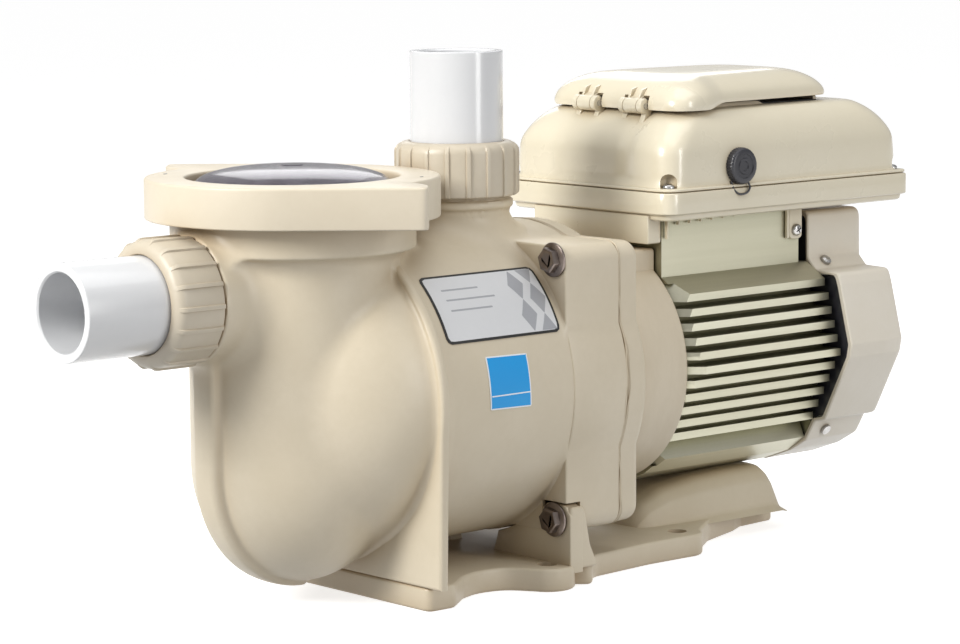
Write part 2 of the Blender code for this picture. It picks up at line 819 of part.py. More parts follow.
def diffuser_o_ring():
    centre = (POT_X + POT_RADIUS + 0.0036, 0, SHAFT_Z)
    return torus("diffuser_o_ring", "X", centre, diffuser_nose() + GAP + 0.0021, 0.0018, black_rubber)


def impeller():
    """Two shrouds with backward-curved vanes between them, and a long hub for the shaft."""
    front, back = IMPELLER_X, IMPELLER_X + 0.016
    wheel = turned(
        "impeller",
        [
            (DIFFUSER_FACE_X - 0.027, IMPELLER_EYE - SHROUD),
            (DIFFUSER_FACE_X - 0.027, IMPELLER_EYE),
            (front - 0.010, IMPELLER_EYE),
            (front - 0.004, IMPELLER_EYE + 0.007),
            (front, IMPELLER_RADIUS),
            (front + SHROUD, IMPELLER_RADIUS),
            (front - 0.001, IMPELLER_EYE + 0.006),
            (front - 0.006, IMPELLER_EYE - SHROUD),
        ],
        "X",
        shaft_centre(),
        ceramic,
        24,
    )
    hub_front = back - 0.006
    hub = turned(
        "impeller_hub",
        [
            (hub_front, 0.0032),
            (hub_front, 0.009),
            (back, HUB_RADIUS),
            (back, IMPELLER_RADIUS),
            (back + SHROUD, IMPELLER_RADIUS),
            (back + SHROUD, HUB_RADIUS),
            (0.0562, HUB_RADIUS),
            (0.0562, SHAFT_RADIUS + GAP),
            (HUB_STEP_X, SHAFT_RADIUS + GAP),
            (HUB_STEP_X, SHAFT_NOSE_RADIUS + GAP),
            (hub_front + 0.004, SHAFT_NOSE_RADIUS + GAP),
            (hub_front + 0.004, 0.0032),
        ],
        "X",
        shaft_centre(),
        None,
        24,
    )
    join(wheel, hub)
    for number in range(IMPELLER_VANES):
        join(wheel, impeller_vane(number, back + SHROUD / 2))
    return wheel


def impeller_vane(number, high):
    start = 360 * number / IMPELLER_VANES
    outer, inner = [], []
    for step in range(4):
        radius = 0.0215 + (IMPELLER_RADIUS - 0.0225) * step / 3
        turn = math.radians(start + 55 * step / 3)
        thick = 0.0011 / radius
        outer.append((radius * math.cos(turn + thick), SHAFT_Z + radius * math.sin(turn + thick)))
        inner.append((radius * math.cos(turn - thick), SHAFT_Z + radius * math.sin(turn - thick)))
    shape = extruded(f"vane_{number}", outer + inner[::-1], "X", IMPELLER_X + 0.0008, high)
    return shape


def impeller_screw():
    seat = IMPELLER_X + 0.010
    profile = [(seat - 0.006, 0), (seat - 0.006, 0.0055), (seat - GAP, 0.0055), (seat - GAP, 0.0025)]
    profile += [(seat + 0.0036, 0.0025), (seat + 0.0036, 0)]
    screw = turned("impeller_screw", profile, "X", shaft_centre(), steel, 12)
    socket = rod("screw_socket", "X", shaft_centre(), 0.0026, seat - 0.007, seat - 0.003, steps=6)
    return cut(screw, socket)


def seal_rotating():
    low = 0.0480
    high = 0.0568
    profile = [(low, HUB_RADIUS + GAP), (low, 0.0188), (high - 0.003, 0.0188), (high - 0.003, 0.0172)]
    profile += [(high, 0.0172), (high, HUB_RADIUS + GAP)]
    return turned("seal_rotating", profile, "X", shaft_centre(), black_plastic, 24)


def seal_stationary():
    low, high = 0.0572, SEAL_SEAT_X - GAP
    profile = [(low, 0.0100), (low, 0.0172), (low + 0.0025, SEAL_SEAT_RADIUS - GAP)]
    profile += [(high, SEAL_SEAT_RADIUS - GAP), (high, 0.0100)]
    return turned("seal_stationary", profile, "X", shaft_centre(), ceramic, 24)


def seal_spring():
    """A coil round the hub, from the impeller's back to the turning half of the seal."""
    wire, coil = 0.0009, 0.0160
    low, high = IMPELLER_X + 0.018 + wire + GAP, 0.0480 - wire - GAP
    coils, around, sides = 3, 12, 4
    shape = bmesh.new()
    rings = []
    for step in range(coils * around + 1):
        turn = 2 * math.pi * step / around
        along = low + (high - low) * step / (coils * around)
        ring = []
        for side in range(sides):
            lean = 2 * math.pi * side / sides
            out = coil + wire * math.cos(lean)
            point = (along + wire * math.sin(lean), out * math.cos(turn), out * math.sin(turn))
            ring.append(shape.verts.new(point))
        rings.append(ring)
    for first, second in zip(rings, rings[1:]):
        for side in range(sides):
            after = (side + 1) % sides
            shape.faces.new([first[side], first[after], second[after], second[side]])
    shape.faces.new(rings[0])
    shape.faces.new(rings[-1][::-1])
    spring = add_mesh("seal_spring", mesh_of("seal_spring", shape), steel)
    spring.location = shaft_centre()
    return spring


# ---- seal plate and its bolts -------------------------------------------------------------------------------
def seal_plate():
    front, back = JOINT_X + GAP, JOINT_X + SEAL_PLATE_THICKNESS
    outline = flange_outline(SQUARE_HALF, SQUARE_CORNER, FLANGE_RADIUS)
    plate = extruded("seal_plate", outline, "X", front, back, housing_plastic)
    register = rod("register", "X", shaft_centre(), SEAL_REGISTER, SPIGOT_PLATE_X, front + 0.002, steps=28)
    seat = rod("seal_seat", "X", shaft_centre(), SEAL_SEAT_RADIUS, SPIGOT_PLATE_X - 0.005, SEAL_SEAT_X, steps=24)
    way = rod("shaft_way", "X", shaft_centre(), 0.0135, 0.045, back + 0.006, steps=20)
    cut(join(plate, register), seat, way)
    for number, (y, z) in enumerate(bolt_places()):
        cut(plate, rod(f"plate_hole_{number}", "X", (0, y, z), BOLT_HOLE_RADIUS, front - 0.01, back + 0.01, steps=10))
    return weld(plate)


def seal_plate_o_ring():
    section = (DRUM_RADIUS - DRUM_WALL - SEAL_REGISTER) / 2 - GAP
    middle = (DRUM_RADIUS - DRUM_WALL + SEAL_REGISTER) / 2
    return torus("seal_plate_o_ring", "X", (0.0535, 0, SHAFT_Z), middle, section, black_rubber, 28, 5)


def flange_bolt(name, y, z):
    """A hexagon flange bolt: washer, head and shank."""
    seat = FLANGE_FRONT_X - GAP
    bolt = turned(
        name,
        [
            (seat - 0.0018, 0),
            (seat - 0.0018, BOLT_WASHER_RADIUS - 0.0012),
            (seat - 0.0008, BOLT_WASHER_RADIUS),
            (seat, BOLT_WASHER_RADIUS),
            (seat, BOLT_RADIUS),
            (JOINT_X + SEAL_PLATE_THICKNESS - 0.001, BOLT_RADIUS),
            (JOINT_X + SEAL_PLATE_THICKNESS - 0.001, 0),
        ],
        "X",
        (0, y, z),
        steel,
        14,
    )
    corner = BOLT_HEAD_ACROSS / math.sqrt(3)
    head = rod(name + "_head", "X", (0, y, z), corner, seat - BOLT_HEAD_HEIGHT, seat - 0.0012, steps=6)
    return join(bolt, head)


# ---- motor --------------------------------------------------------------------------------------------------


def motor_bell():
    front = JOINT_X + SEAL_PLATE_THICKNESS + GAP
    wall = front + 0.005
    seat = BEARING_RADIUS + GAP
    boss = seat + 0.004
    inner = BELL_RADIUS - 0.005
    boss_end = FRONT_BEARING_X + BEARING_WIDTH
    return turned(
        "motor_bell",
        [
            (front, 0.012),
            (front, BELL_RADIUS),
            (BELL_REAR_X - 0.004, BELL_RADIUS),
            (BELL_REAR_X, BELL_RADIUS - 0.004),
            (BELL_REAR_X, inner),
            (wall, inner),
            (wall, boss),
            (boss_end, boss),
            (boss_end, seat),
            (FRONT_BEARING_X - GAP, seat),
            (FRONT_BEARING_X - GAP, 0.012),
        ],
        "X",
        shaft_centre(),
        painted_metal,
        28,
    )


def bearing(name, low):
    bore = SHAFT_RADIUS + GAP
    high = low + BEARING_WIDTH - GAP
    groove = 0.0008
    profile = [
        (low, bore),
        (low, bore + 0.003),
        (low + groove, bore + 0.003),
        (low + groove, BEARING_RADIUS - 0.003),
        (low, BEARING_RADIUS - 0.003),
        (low, BEARING_RADIUS),
        (high, BEARING_RADIUS),
        (high, BEARING_RADIUS - 0.003),
        (high - groove, BEARING_RADIUS - 0.003),
        (high - groove, bore + 0.003),
        (high, bore + 0.003),
        (high, bore),
    ]
    return turned(name, profile, "X", shaft_centre(), steel, 20)


def fin_tip(number):
    """Reach and height of a fin, counted up from the middle one. The ends of the stack draw in."""
    height = SHAFT_Z + number * FIN_PITCH
    slope = FIN_SLOPE_UP if number > 0 else FIN_SLOPE_DOWN
    reach = FIN_REACH - slope * abs(number) * FIN_PITCH
    if number == FIN_COUNT // 2:
        reach -= 0.001
    return reach, height


def frame_outline():
    """Half of the motor's section, from the top of the block down over the fins to the lower plate."""
    upper = [(0.030, MOTOR_BLOCK_TOP), (MOTOR_BLOCK_HALF, MOTOR_BLOCK_TOP), (MOTOR_BLOCK_HALF, 0.187)]
    middle = []
    half = FIN_THICKNESS / 2
    for number in range(FIN_COUNT // 2, -FIN_COUNT // 2, -1):
        reach, height = fin_tip(number)
        root = math.sqrt(max(FRAME_BARREL**2 - (height - half - SHAFT_Z - 0.002) ** 2, 0.035**2))
        root = min(root, reach - 0.014)
        middle += [(reach, height + half), (reach, height - half), (root, height - half)]
        if number > -(FIN_COUNT // 2):
            middle.append((root, height - FIN_PITCH + half))
    lower = [(0.0545, 0.064), (0.039, 0.053), (0.0165, 0.0445)]
    return upper + middle + lower


def motor_frame():
    outline = mirrored(frame_outline())
    frame = extruded("motor_frame", outline, "X", BELL_REAR_X + GAP, FRAME_REAR_X - 0.0045, bare_aluminium)
    bore = rod("frame_bore", "X", shaft_centre(), STATOR_RADIUS + GAP, BELL_REAR_X - 0.01, FRAME_REAR_X + 0.01, steps=24)
    start = BELL_REAR_X - 0.001
    bevel = turned(
        "fin_bevel",
        [(start, BELL_RADIUS - 0.004), (start, 0.12), (start + 0.030, 0.12), (start + 0.015, BELL_RADIUS + 0.010)],
        "X",
        shaft_centre(),
        steps=28,
    )
    boundary = block("bevel_limit", (start - 0.01, -0.12, SHAFT_Z - 0.068), (start + 0.05, 0.12, 0.183))
    bevel_cut = join_common(bevel, boundary)
    rear = block("block_rear", (MOTOR_BLOCK_REAR_X, -0.0900, 0.187), (FRAME_REAR_X + 0.01, 0.0900, MOTOR_BLOCK_TOP + 0.01))
    tapped = rod("block_tapped", "Y", (TAB_X, 0, TAB_Z), 0.0024, -0.1, 0.1, steps=10)
    keep = block("tapped_limit", (TAB_X - 0.01, -0.0475, TAB_Z - 0.01), (TAB_X + 0.01, 0.0475, TAB_Z + 0.01))
    return cut(frame, bore, bevel_cut, rear, cut(tapped, keep))


def join_common(base, other):
    return boolean(base, other, "INTERSECT")


def rear_bell():
    """The motor's rear end shield, with an arm out to each screw of the fan cover."""
    low = REAR_BEARING_X - 0.0005
    seat = BEARING_RADIUS + GAP
    frame_end = FRAME_REAR_X - 0.0045
    high = frame_end + 0.006
    shield = turned(
        "rear_bell",
        [
            (low, seat),
            (low, seat + 0.004),
            (frame_end - 0.006, seat + 0.004),
            (frame_end - 0.006, STATOR_RADIUS),
            (frame_end + GAP, STATOR_RADIUS),
            (frame_end + GAP, 0.068),
            (high, 0.068),
            (high, seat),
        ],
        "X",
        shaft_centre(),
        painted_metal,
        24,
    )
    for number, (reach, aside, lean) in enumerate(cover_screw_places()):
        arm_end = reach - COVER_WALL - 2 * GAP
        front, inner, clear = frame_end + GAP + 0.0008, 0.0565, 0.0588
        outline = [(front, inner), (high + 0.001, inner), (high + 0.001, clear), (0.290, clear)]
        outline += [(0.290, arm_end), (front, arm_end)]
        arm = extruded(f"shield_arm_{number}", outline, "Y", aside - 0.0055, aside + 0.0055)
        hole = rod(f"shield_hole_{number}", "Z", (COVER_SCREW_X, aside, 0), 0.0024, arm_end - 0.008, reach, steps=10)
        lean_over(arm, lean)
        lean_over(hole, lean)
        cut(join(shield, arm), hole)
    return shield


def cover_screw_places():
    """For each screw: distance of the cover's face from the shaft, offset along the face, and lean in degrees."""
    return ((0.0839, 0.0, 45), (0.0839, 0.0, -45), (0.0812, -0.0207, 119.8), (0.0812, 0.0207, -119.8))


def lean_over(made, degrees):
    """Turns a shape built about the shaft's height from upright to its place round the shaft."""
    turn = Matrix.Rotation(math.radians(degrees), 4, "X")
    made.matrix_basis = Matrix.Translation(shaft_centre()) @ turn @ Matrix.Translation(made.location)
    return made


def stator():
    """The laminated core with a winding's end turns at each end."""
    low, high = STATOR_X
    inner, outer = ROTOR_RADIUS + 0.005, STATOR_RADIUS - 0.005
    end, soft = WINDING_LENGTH, 0.003
    front = [(low, inner), (low - end + soft, inner), (low - end, inner + soft), (low - end, outer - soft)]
    front += [(low - end + soft, outer), (low, outer)]
    rear = [(low + high - along, radius) for along, radius in reversed(front)]
    profile = [(low, ROTOR_RADIUS + RUNNING_GAP)] + front + [(low, STATOR_RADIUS), (high, STATOR_RADIUS)]
    profile += rear + [(high, ROTOR_RADIUS + RUNNING_GAP)]
    return turned("stator", profile, "X", shaft_centre(), steel, 24)


def rotor():
    low, high = STATOR_X
    bore = SHAFT_RADIUS + GAP
    profile = [(low, bore), (low, ROTOR_RADIUS), (high, ROTOR_RADIUS), (high, bore)]
    return turned("rotor", profile, "X", shaft_centre(), bare_aluminium, 24)


def shaft():
    nose = IMPELLER_X + 0.0145
    profile = [(nose, 0), (nose, SHAFT_NOSE_RADIUS)]
    profile += [(HUB_STEP_X + GAP, SHAFT_NOSE_RADIUS), (HUB_STEP_X + GAP, SHAFT_RADIUS)]
    profile += [(SHAFT_REAR_X, SHAFT_RADIUS), (SHAFT_REAR_X, 0)]
    return turned("shaft", profile, "X", shaft_centre(), steel, 16)


def cooling_fan():
    low, high = 0.281, 0.302
    bore = SHAFT_RADIUS + GAP
    fan = turned(
        "cooling_fan",
        [(low, bore), (low, 0.056), (low + 0.002, 0.056), (low + 0.002, 0.016), (high, 0.014), (high, bore)],
        "X",
        shaft_centre(),
        black_plastic,
        20,
    )
    for number in range(7):
        name = f"fan_blade_{number}"
        shape = bmesh.new()
        bmesh.ops.create_cube(shape, size=1)
        bmesh.ops.scale(shape, verts=shape.verts, vec=(high - low - 0.002, 0.0018, 0.041))
        bmesh.ops.translate(shape, verts=shape.verts, vec=((low + high) / 2, 0, 0.0345))
        turn = Matrix.Rotation(2 * math.pi * number / 7, 3, "X")
        bmesh.ops.rotate(shape, verts=shape.verts, cent=(0, 0, 0), matrix=turn)
        bmesh.ops.translate(shape, verts=shape.verts, vec=shaft_centre())
        join(fan, add_mesh(name, mesh_of(name, shape), None))
    return fan


def cover_outline(inset):
    """The fan cover's section: a tower to the drive over a many-sided drum."""
    side = [
        (0.0560, 0.2215),
        (0.0566, 0.189),
        (0.0640, 0.1815),
        (0.0846, 0.181),
        (0.0875, 0.173),
        (0.0980, 0.1326),
        (0.0963, 0.1234),
        (0.0735, 0.078),
        (0.0640, 0.076),
        (0.0558, 0.0617),
        (0.0406, 0.0528),
        (0.0165, 0.044),
    ]
    moved = []
    for y, z in side:
        away = Vector((y, z - SHAFT_Z))
        away *= 1 - inset / 0.088
        moved.append((away.x, SHAFT_Z + away.y))
    return mirrored(moved)


def fan_cover():
    low, high = COVER_FRONT_X, COVER_REAR_X
    levels = ((low, 0.0), (high - 0.011, 0.0), (high - 0.004, 0.002), (high - 0.001, 0.0055), (high, 0.010))
    cover = lofted("fan_cover", [[(x, y, z) for y, z in cover_outline(inset)] for x, inset in levels], painted_metal)
    wall = COVER_WALL
    inner = ((low - 0.01, wall), (high - 0.012, wall), (high - 0.005, wall + 0.002), (high - wall, wall + 0.010))
    room = lofted("cover_room", [[(x, y, z) for y, z in cover_outline(inset)] for x, inset in inner])
    cut(cover, room)
    for number in range(7):
        level = SHAFT_Z + (number - 3) * 0.013
        half = math.sqrt(0.055**2 - (level - SHAFT_Z) ** 2)
        slot = block(f"intake_{number}", (high - 0.012, -half, level - 0.003), (high + 0.01, half, level + 0.003))
        cut(cover, slot)
    for number, (reach, aside, lean) in enumerate(cover_screw_places()):
        place = (COVER_SCREW_X, aside, 0)
        hole = rod(f"cover_hole_{number}", "Z", place, 0.0028, reach - 0.008, reach + 0.006, steps=10)
        cut(cover, lean_over(hole, lean))
    return cover


def pan_screw(name, centre, length, steps=10):
    """A pan-head screw that points down, its seat at height zero."""
    profile = [(-length, 0), (-length, 0.0020), (GAP, 0.0020), (GAP, 0.0040), (0.0020, 0.0037)]
    profile += [(0.0030, 0.0020), (0.0030, 0)]
    return turned(name, profile, "Z", centre, steel, steps)


def cover_screw(name, reach, aside, lean):
    return lean_over(pan_screw(name, (COVER_SCREW_X, aside, reach), 0.0095), lean)


# ---- speed drive --------------------------------------------------------------------------------------------
def tray_outline(inset, corner=0.012):
    low, high = TRAY_X
    return rounded_rectangle(low + inset, high - inset, TRAY_Y[0] + inset, TRAY_Y[1] - inset, corner, 3)


def tray_screw_places():
    low, high = TRAY_X
    return [(x, y) for x in (low + 0.0085, high - 0.0085) for y in (TRAY_Y[0] + 0.0085, TRAY_Y[1] - 0.0085)]


def bracket_screw(name, side):
    """Fixes the tray's tab; its stem ends in a blind hole of the motor's block."""
    screw = pan_screw(name, (0, 0, 0), 0.0085)
    screw.data.transform(Matrix.Rotation(math.radians(-90 * side), 4, "X"))
    screw.location = (TAB_X, side * (MOTOR_BLOCK_HALF + GAP + TAB_THICKNESS), TAB_Z)
    return screw


def drive_tray():
    low, high = TRAY_Z
    low_x = TRAY_X[0]
    tray = extruded("drive_tray", tray_outline(0.0), "Z", low, high, painted_metal)
    room = extruded("tray_room", tray_outline(TRAY_WALL, 0.009), "Z", low + 0.004, high + 0.01)
    cut(tray, room)
    skirt = block("tray_skirt", (low_x + 0.001, -MOTOR_BLOCK_HALF, 0.2098), (BELL_REAR_X, MOTOR_BLOCK_HALF, low + 0.002))
    join(tray, skirt)
    for side in (-1, 1):
        near, far = sorted((side * (MOTOR_BLOCK_HALF + GAP), side * (MOTOR_BLOCK_HALF + GAP + TAB_THICKNESS)))
        outline = rounded_rectangle(TAB_X - 0.0062, TAB_X + 0.0062, 0.2037, low + 0.003, 0.003, 3)
        join(tray, extruded(f"tray_tab_{side + 1}", outline, "Y", near, far))
        cut(tray, rod(f"tab_hole_{side + 1}", "Y", (TAB_X, 0, TAB_Z), 0.0026, near - 0.01, far + 0.01, steps=10))
    for number, (x, y) in enumerate(tray_screw_places()):
        post = rod(f"tray_post_{number}", "Z", (x, y, 0), 0.0078, low + 0.002, high, steps=14)
        hole = rod(f"tray_post_hole_{number}", "Z", (x, y, 0), 0.0026, low + 0.006, high + 0.01, steps=10)
        cut(join(tray, post), hole)
    return tray


def cover_level(z, inset_end, inset_side, corner):
    low, high = TRAY_X
    outline = rounded_rectangle(
        low + inset_end, high - inset_end, TRAY_Y[0] + inset_side, TRAY_Y[1] - inset_side, corner, 4
    )
    return [(x, y, z) for x, y in outline]


def drive_cover():
    low = TRAY_Z[1] + GAP
    top = DRIVE_TOP_Z
    foot = COVER_INSET
    outside = (
        (low, foot, foot, 0.0175),
        (0.262, foot + 0.0004, foot + 0.0003, 0.0175),
        (0.2725, foot + 0.0015, foot + 0.0012, 0.018),
        (0.281, foot + 0.0060, foot + 0.0038, 0.020),
        (0.287, foot + 0.0115, foot + 0.0068, 0.021),
        (top - 0.0045, foot + 0.0190, foot + 0.0112, 0.021),
        (top, foot + 0.0300, foot + 0.0185, 0.019),
    )
    shell = lofted("drive_cover", [cover_level(*level) for level in outside], painted_metal)
    wall = 0.003
    inside = [(z, end + wall, side + wall, SCREW_KEEP) for z, end, side, corner in outside[:-1]]
    inside[0] = (low - 0.01, foot + wall, foot + wall, SCREW_KEEP)
    z, end, side, corner = inside.pop()
    inside.append((top - wall, end, side, corner))
    room = lofted("drive_room", [cover_level(*level) for level in inside])
    well = block("panel_well", (0.176, -PANEL_HALF - GAP, top - 0.008), (0.290, PANEL_HALF + GAP, top + 0.01))
    cut(shell, room, well)
    for number, (x, y) in enumerate(tray_screw_places()):
        cut(shell, rod(f"screw_room_{number}", "Z", (x, y, 0), SCREW_ROOM, low - 0.01, low + SCREW_ROOM_HEIGHT, steps=14))
    port = rod("port_stub", "Y", (PORT_X, 0, PORT_Z), 0.0088, PORT_OUT_Y + 0.0045, TRAY_Y[0] + 0.012, steps=18)
    bore = rod("port_bore", "Y", (PORT_X, 0, PORT_Z), 0.0064, PORT_OUT_Y - 0.01, TRAY_Y[0] + 0.020, steps=18)
    cut(join(shell, port), bore)
    for number, y in enumerate(HINGE_Y):
        for end in (-1, 1):
            middle = y + end * 0.0088
            join(shell, hinge_lug(f"hinge_lug_{number}_{end + 1}", middle - 0.0022, middle + 0.0022, -1))
            room = hinge_bore(f"lug_bore_{number}_{end + 1}", middle - 0.004, middle + 0.004)
            cut(shell, room)
    return shell


def hinge_lug(name, low, high, side):
    """A knuckle and the arm under it that reaches back to the cover (-1) or up to the lid (+1)."""
    outline = arc((HINGE_X, HINGE_Z), 0.0055, 90, 270, 6)
    if side < 0:
        outline += [(HINGE_X - 0.0035, HINGE_Z - 0.0115), (HINGE_X + 0.0040, HINGE_Z - 0.0065)]
        outline += [(HINGE_X + 0.0055, HINGE_Z - 0.0030), (HINGE_X + 0.0050, HINGE_Z + 0.0022)]
    else:
        outline += [(HINGE_X + 0.004, HINGE_Z - 0.0037), (HINGE_X + 0.0095, HINGE_Z + 0.0015)]
        outline += [(HINGE_X + 0.0125, HINGE_Z + 0.0095), (HINGE_X + 0.004, HINGE_Z + 0.0070)]
    return extruded(name, outline, "Y", low, high)


def hinge_bore(name, low, high):
    return rod(name, "Y", (HINGE_X, 0, HINGE_Z), 0.0024, low, high, steps=10)


def hinge_pin(name, y):
    pin = rod(name, "Y", (0, 0, 0), 0.0020, -0.0115, 0.0115, steel, 10)
    pin.location = (HINGE_X, y, HINGE_Z)
    return pin


def lid_level(z, inset_end, inset_side, corner):
    low, high = LID_X
    outline = rounded_rectangle(
        low + inset_end, high - inset_end, LID_Y[0] + inset_side, LID_Y[1] - inset_side, corner, 4
    )
    return [(x, y, z) for x, y in outline]


def drive_lid():
    low = DRIVE_TOP_Z + GAP
    outside = (
        (low, 0.0045, 0.0, 0.018),
        (0.304, 0.0055, 0.001, 0.018),
        (0.312, 0.010, 0.006, 0.020),
        (0.3175, 0.020, 0.015, 0.024),
        (LID_TOP_Z, 0.034, 0.028, 0.020),
    )
    lid = lofted("drive_lid", [lid_level(*level) for level in outside], painted_metal)
    inside = (
        (low - 0.01, 0.0075, 0.003, 0.016),
        (0.304, 0.0085, 0.004, 0.016),
        (0.3115, 0.014, 0.010, 0.018),
        (LID_TOP_Z - 0.003, 0.034, 0.030, 0.018),
    )
    cut(lid, lofted("lid_room", [lid_level(*level) for level in inside]))
    for number, y in enumerate(HINGE_Y):
        join(lid, hinge_lug(f"lid_knuckle_{number}", y - 0.0062, y + 0.0062, 1))
        cut(lid, hinge_bore(f"knuckle_bore_{number}", y - 0.008, y + 0.008))
        for end in (-1, 1):
            middle = y + end * 0.0088
            room = block(
                f"lug_room_{number}_{end + 1}",
                (HINGE_X - 0.01, middle - 0.0028, HINGE_Z - 0.01),
                (HINGE_X + 0.0105, middle + 0.0028, HINGE_Z + 0.0062),
            )
            cut(lid, room)
    return move_origin(lid, (HINGE_X, 0, HINGE_Z))


def move_origin(made, point):
    """Puts the object's origin on its joint. Its cutters and joined shapes stay where they are."""
    made.data.transform(Matrix.Translation(-Vector(point)))
    made.location = point
    return made


def keypad_panel():
    top = DRIVE_TOP_Z + 0.0005
    panel = block("keypad_panel", (0.1765, -PANEL_HALF, top - 0.0045), (0.2895, PANEL_HALF, top), black_plastic)
    for number, (x, y) in enumerate(BUTTON_PLACES):
        reach = BUTTON_HALF + GAP
        cut(panel, block(f"button_hole_{number}", (x - reach, y - reach, top - 0.0062), (x + reach, y + reach, 0.31)))
    window = block("display_recess", (0.2225 - GAP, -0.0305, top - 0.0015), (0.2835 + GAP, 0.0205, top + 0.005))
    return cut(panel, window)


def display():
    top = DRIVE_TOP_Z + 0.0005
    return block("display", (0.2225, -0.030, top - 0.0011), (0.2835, 0.020, top + 0.0002), smoked_clear)


def keypad_button(name, x, y):
    top = DRIVE_TOP_Z + 0.0025
    outline = rounded_rectangle(-BUTTON_HALF, BUTTON_HALF, -BUTTON_HALF, BUTTON_HALF, 0.0015, 2)
    button = extruded(name, outline, "Z", -0.0040, 0.0, ceramic)
    button.location = (x, y, top)
    return button


def control_board():
    low, high = TRAY_X
    board = block("control_board", (low + 0.022, -0.060, 0.2360), (high - 0.022, 0.060, 0.2378), board_green)
    return board


def port_cap():
    """A cup over the cable port, with a short lip."""
    outer, face = 0.0120, PORT_OUT_Y
    cap = turned(
        "port_cap",
        [
            (face, 0),
            (face, outer - 0.002),
            (face + 0.0015, outer),
            (face + 0.0062, outer),
            (face + 0.0062, 0.0088 + GAP),
            (face + 0.0035, 0.0088 + GAP),
            (face + 0.0035, 0),
        ],
        "Y",
        (0, 0, 0),
        black_plastic,
        18,
    )
    cap.location = (PORT_X, 0, PORT_Z)
    return cap


# ---- foot ---------------------------------------------------------------------------------------------------
def foot_outline():
    """Half the foot's plan, from the pot's end to the motor's end."""
    right = [(-0.101, 0.0895), (-0.078, 0.0885), (-0.062, 0.0760), (-0.043, 0.0670), (-0.028, 0.0735)]
    right += arc((0.0045, 0.0805), 0.0175, 165, 20, 5)
    right += [(0.042, 0.0790), (0.066, 0.0765), (0.101, 0.0750)]
    right += arc((0.142, 0.0600), 0.0160, 110, 10, 4)
    right += [(0.185, 0.0440), (0.224, 0.0320), (0.240, 0.0240), (0.274, 0.0215)]
    return right + [(x, -y) for x, y in reversed(right)]


def foot_holes():
    return [(x, side * y) for x, y in ((0.0045, 0.0805), (0.142, 0.0590)) for side in (-1, 1)]


def foot():
    body = extruded("foot", foot_outline(), "Z", 0.0, FOOT_HEIGHT, housing_plastic)
    seat = FLANGE_FRONT_X
    lug_rear = seat + LOW_SEAT_DEPTH - GAP
    for side in (-1, 1):
        outline = rounded_lug(side)
        join(body, extruded(f"foot_lug_{side + 1}", outline, "X", seat, lug_rear))
        place_y, place_z = side * BOLT_Y, SHAFT_Z - BOLT_Z
        cut(body, rod(f"foot_lug_hole_{side + 1}", "X", (0, place_y, place_z), BOLT_HOLE_RADIUS, 0.0, 0.04, steps=12))
    cradle = block("motor_cradle", (0.200, -0.034, 0.005), (0.262, 0.034, CRADLE_Z))
    hollow = block("cradle_hollow", (0.206, -0.028, -0.01), (0.256, 0.028, CRADLE_Z - 0.005))
    join(body, cradle)
    cut(body, hollow)
    for number, (x, y) in enumerate(foot_holes()):
        cut(body, rod(f"foot_hole_{number}", "Z", (x, y, 0), 0.0066, -0.01, 0.03, steps=20))
    return body


def rounded_lug(side):
    """The upright ear that a lower flange bolt goes through. Its top is round."""
    inner = BOLT_Y - 0.0105
    outer = SQUARE_HALF
    middle = SHAFT_Z - BOLT_Z
    points = [(inner, FOOT_HEIGHT - 0.004), (outer, FOOT_HEIGHT - 0.004)]
    points += arc((BOLT_Y, middle), 0.0100, 0, 180, 8)
    return [(side * y, z) for y, z in points]


# ---- assembly -----------------------------------------------------------------------------------------------
def build():
    for leftover in list(bpy.data.objects):
        bpy.data.objects.remove(leftover)
    pump_housing()
    clamp_ring()
    pot_lid()
    lid_o_ring()
    strainer_basket()
    for number, (x, y, z) in enumerate(drain_places(), 1):
        drain_plug(f"drain_plug_{number}", x, y, z)
    union("suction", "X", SUCTION_NUT_X, 1, SUCTION_Z)
    union("discharge", "Z", DISCHARGE_NUT_Z, -1, 0)
    diffuser()
    diffuser_o_ring()
    impeller()
    impeller_screw()
    seal_rotating()
    seal_stationary()
    seal_spring()
    seal_plate()
    seal_plate_o_ring()
    for number, (y, z) in enumerate(bolt_places(), 1):
        flange_bolt(f"flange_bolt_{number}", y, z)
    shaft()
    rotor()
    stator()
    bearing("bearing_front", FRONT_BEARING_X)
    bearing("bearing_rear", REAR_BEARING_X)
    motor_bell()
    motor_frame()
    rear_bell()
    cooling_fan()
    fan_cover()
    for number, (reach, aside, lean) in enumerate(cover_screw_places(), 1):
        cover_screw(f"cover_screw_{number}", reach, aside, lean)
    drive_tray()
    drive_cover()
    for number, (x, y) in enumerate(tray_screw_places(), 1):
        pan_screw(f"drive_screw_{number}", (x, y, TRAY_Z[1]), 0.010)
    for number, side in enumerate((-1, 1), 1):
        bracket_screw(f"bracket_screw_{number}", side)
    drive_lid()
    hinge_pin("hinge_pin_1", HINGE_Y[0])
    hinge_pin("hinge_pin_2", HINGE_Y[1])
    keypad_panel()
    display()
    for number, (x, y) in enumerate(BUTTON_PLACES, 1):
        keypad_button(f"button_{number}", x, y)
    control_board()
    port_cap()
    foot()


build()
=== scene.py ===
"""The looks of the pool pump: detailed pieces and finishes round its frame. Metres, +Z up, inlet towards -X."""

import math

import bmesh
import bpy
import numpy as np
from mathutils import Matrix, Vector


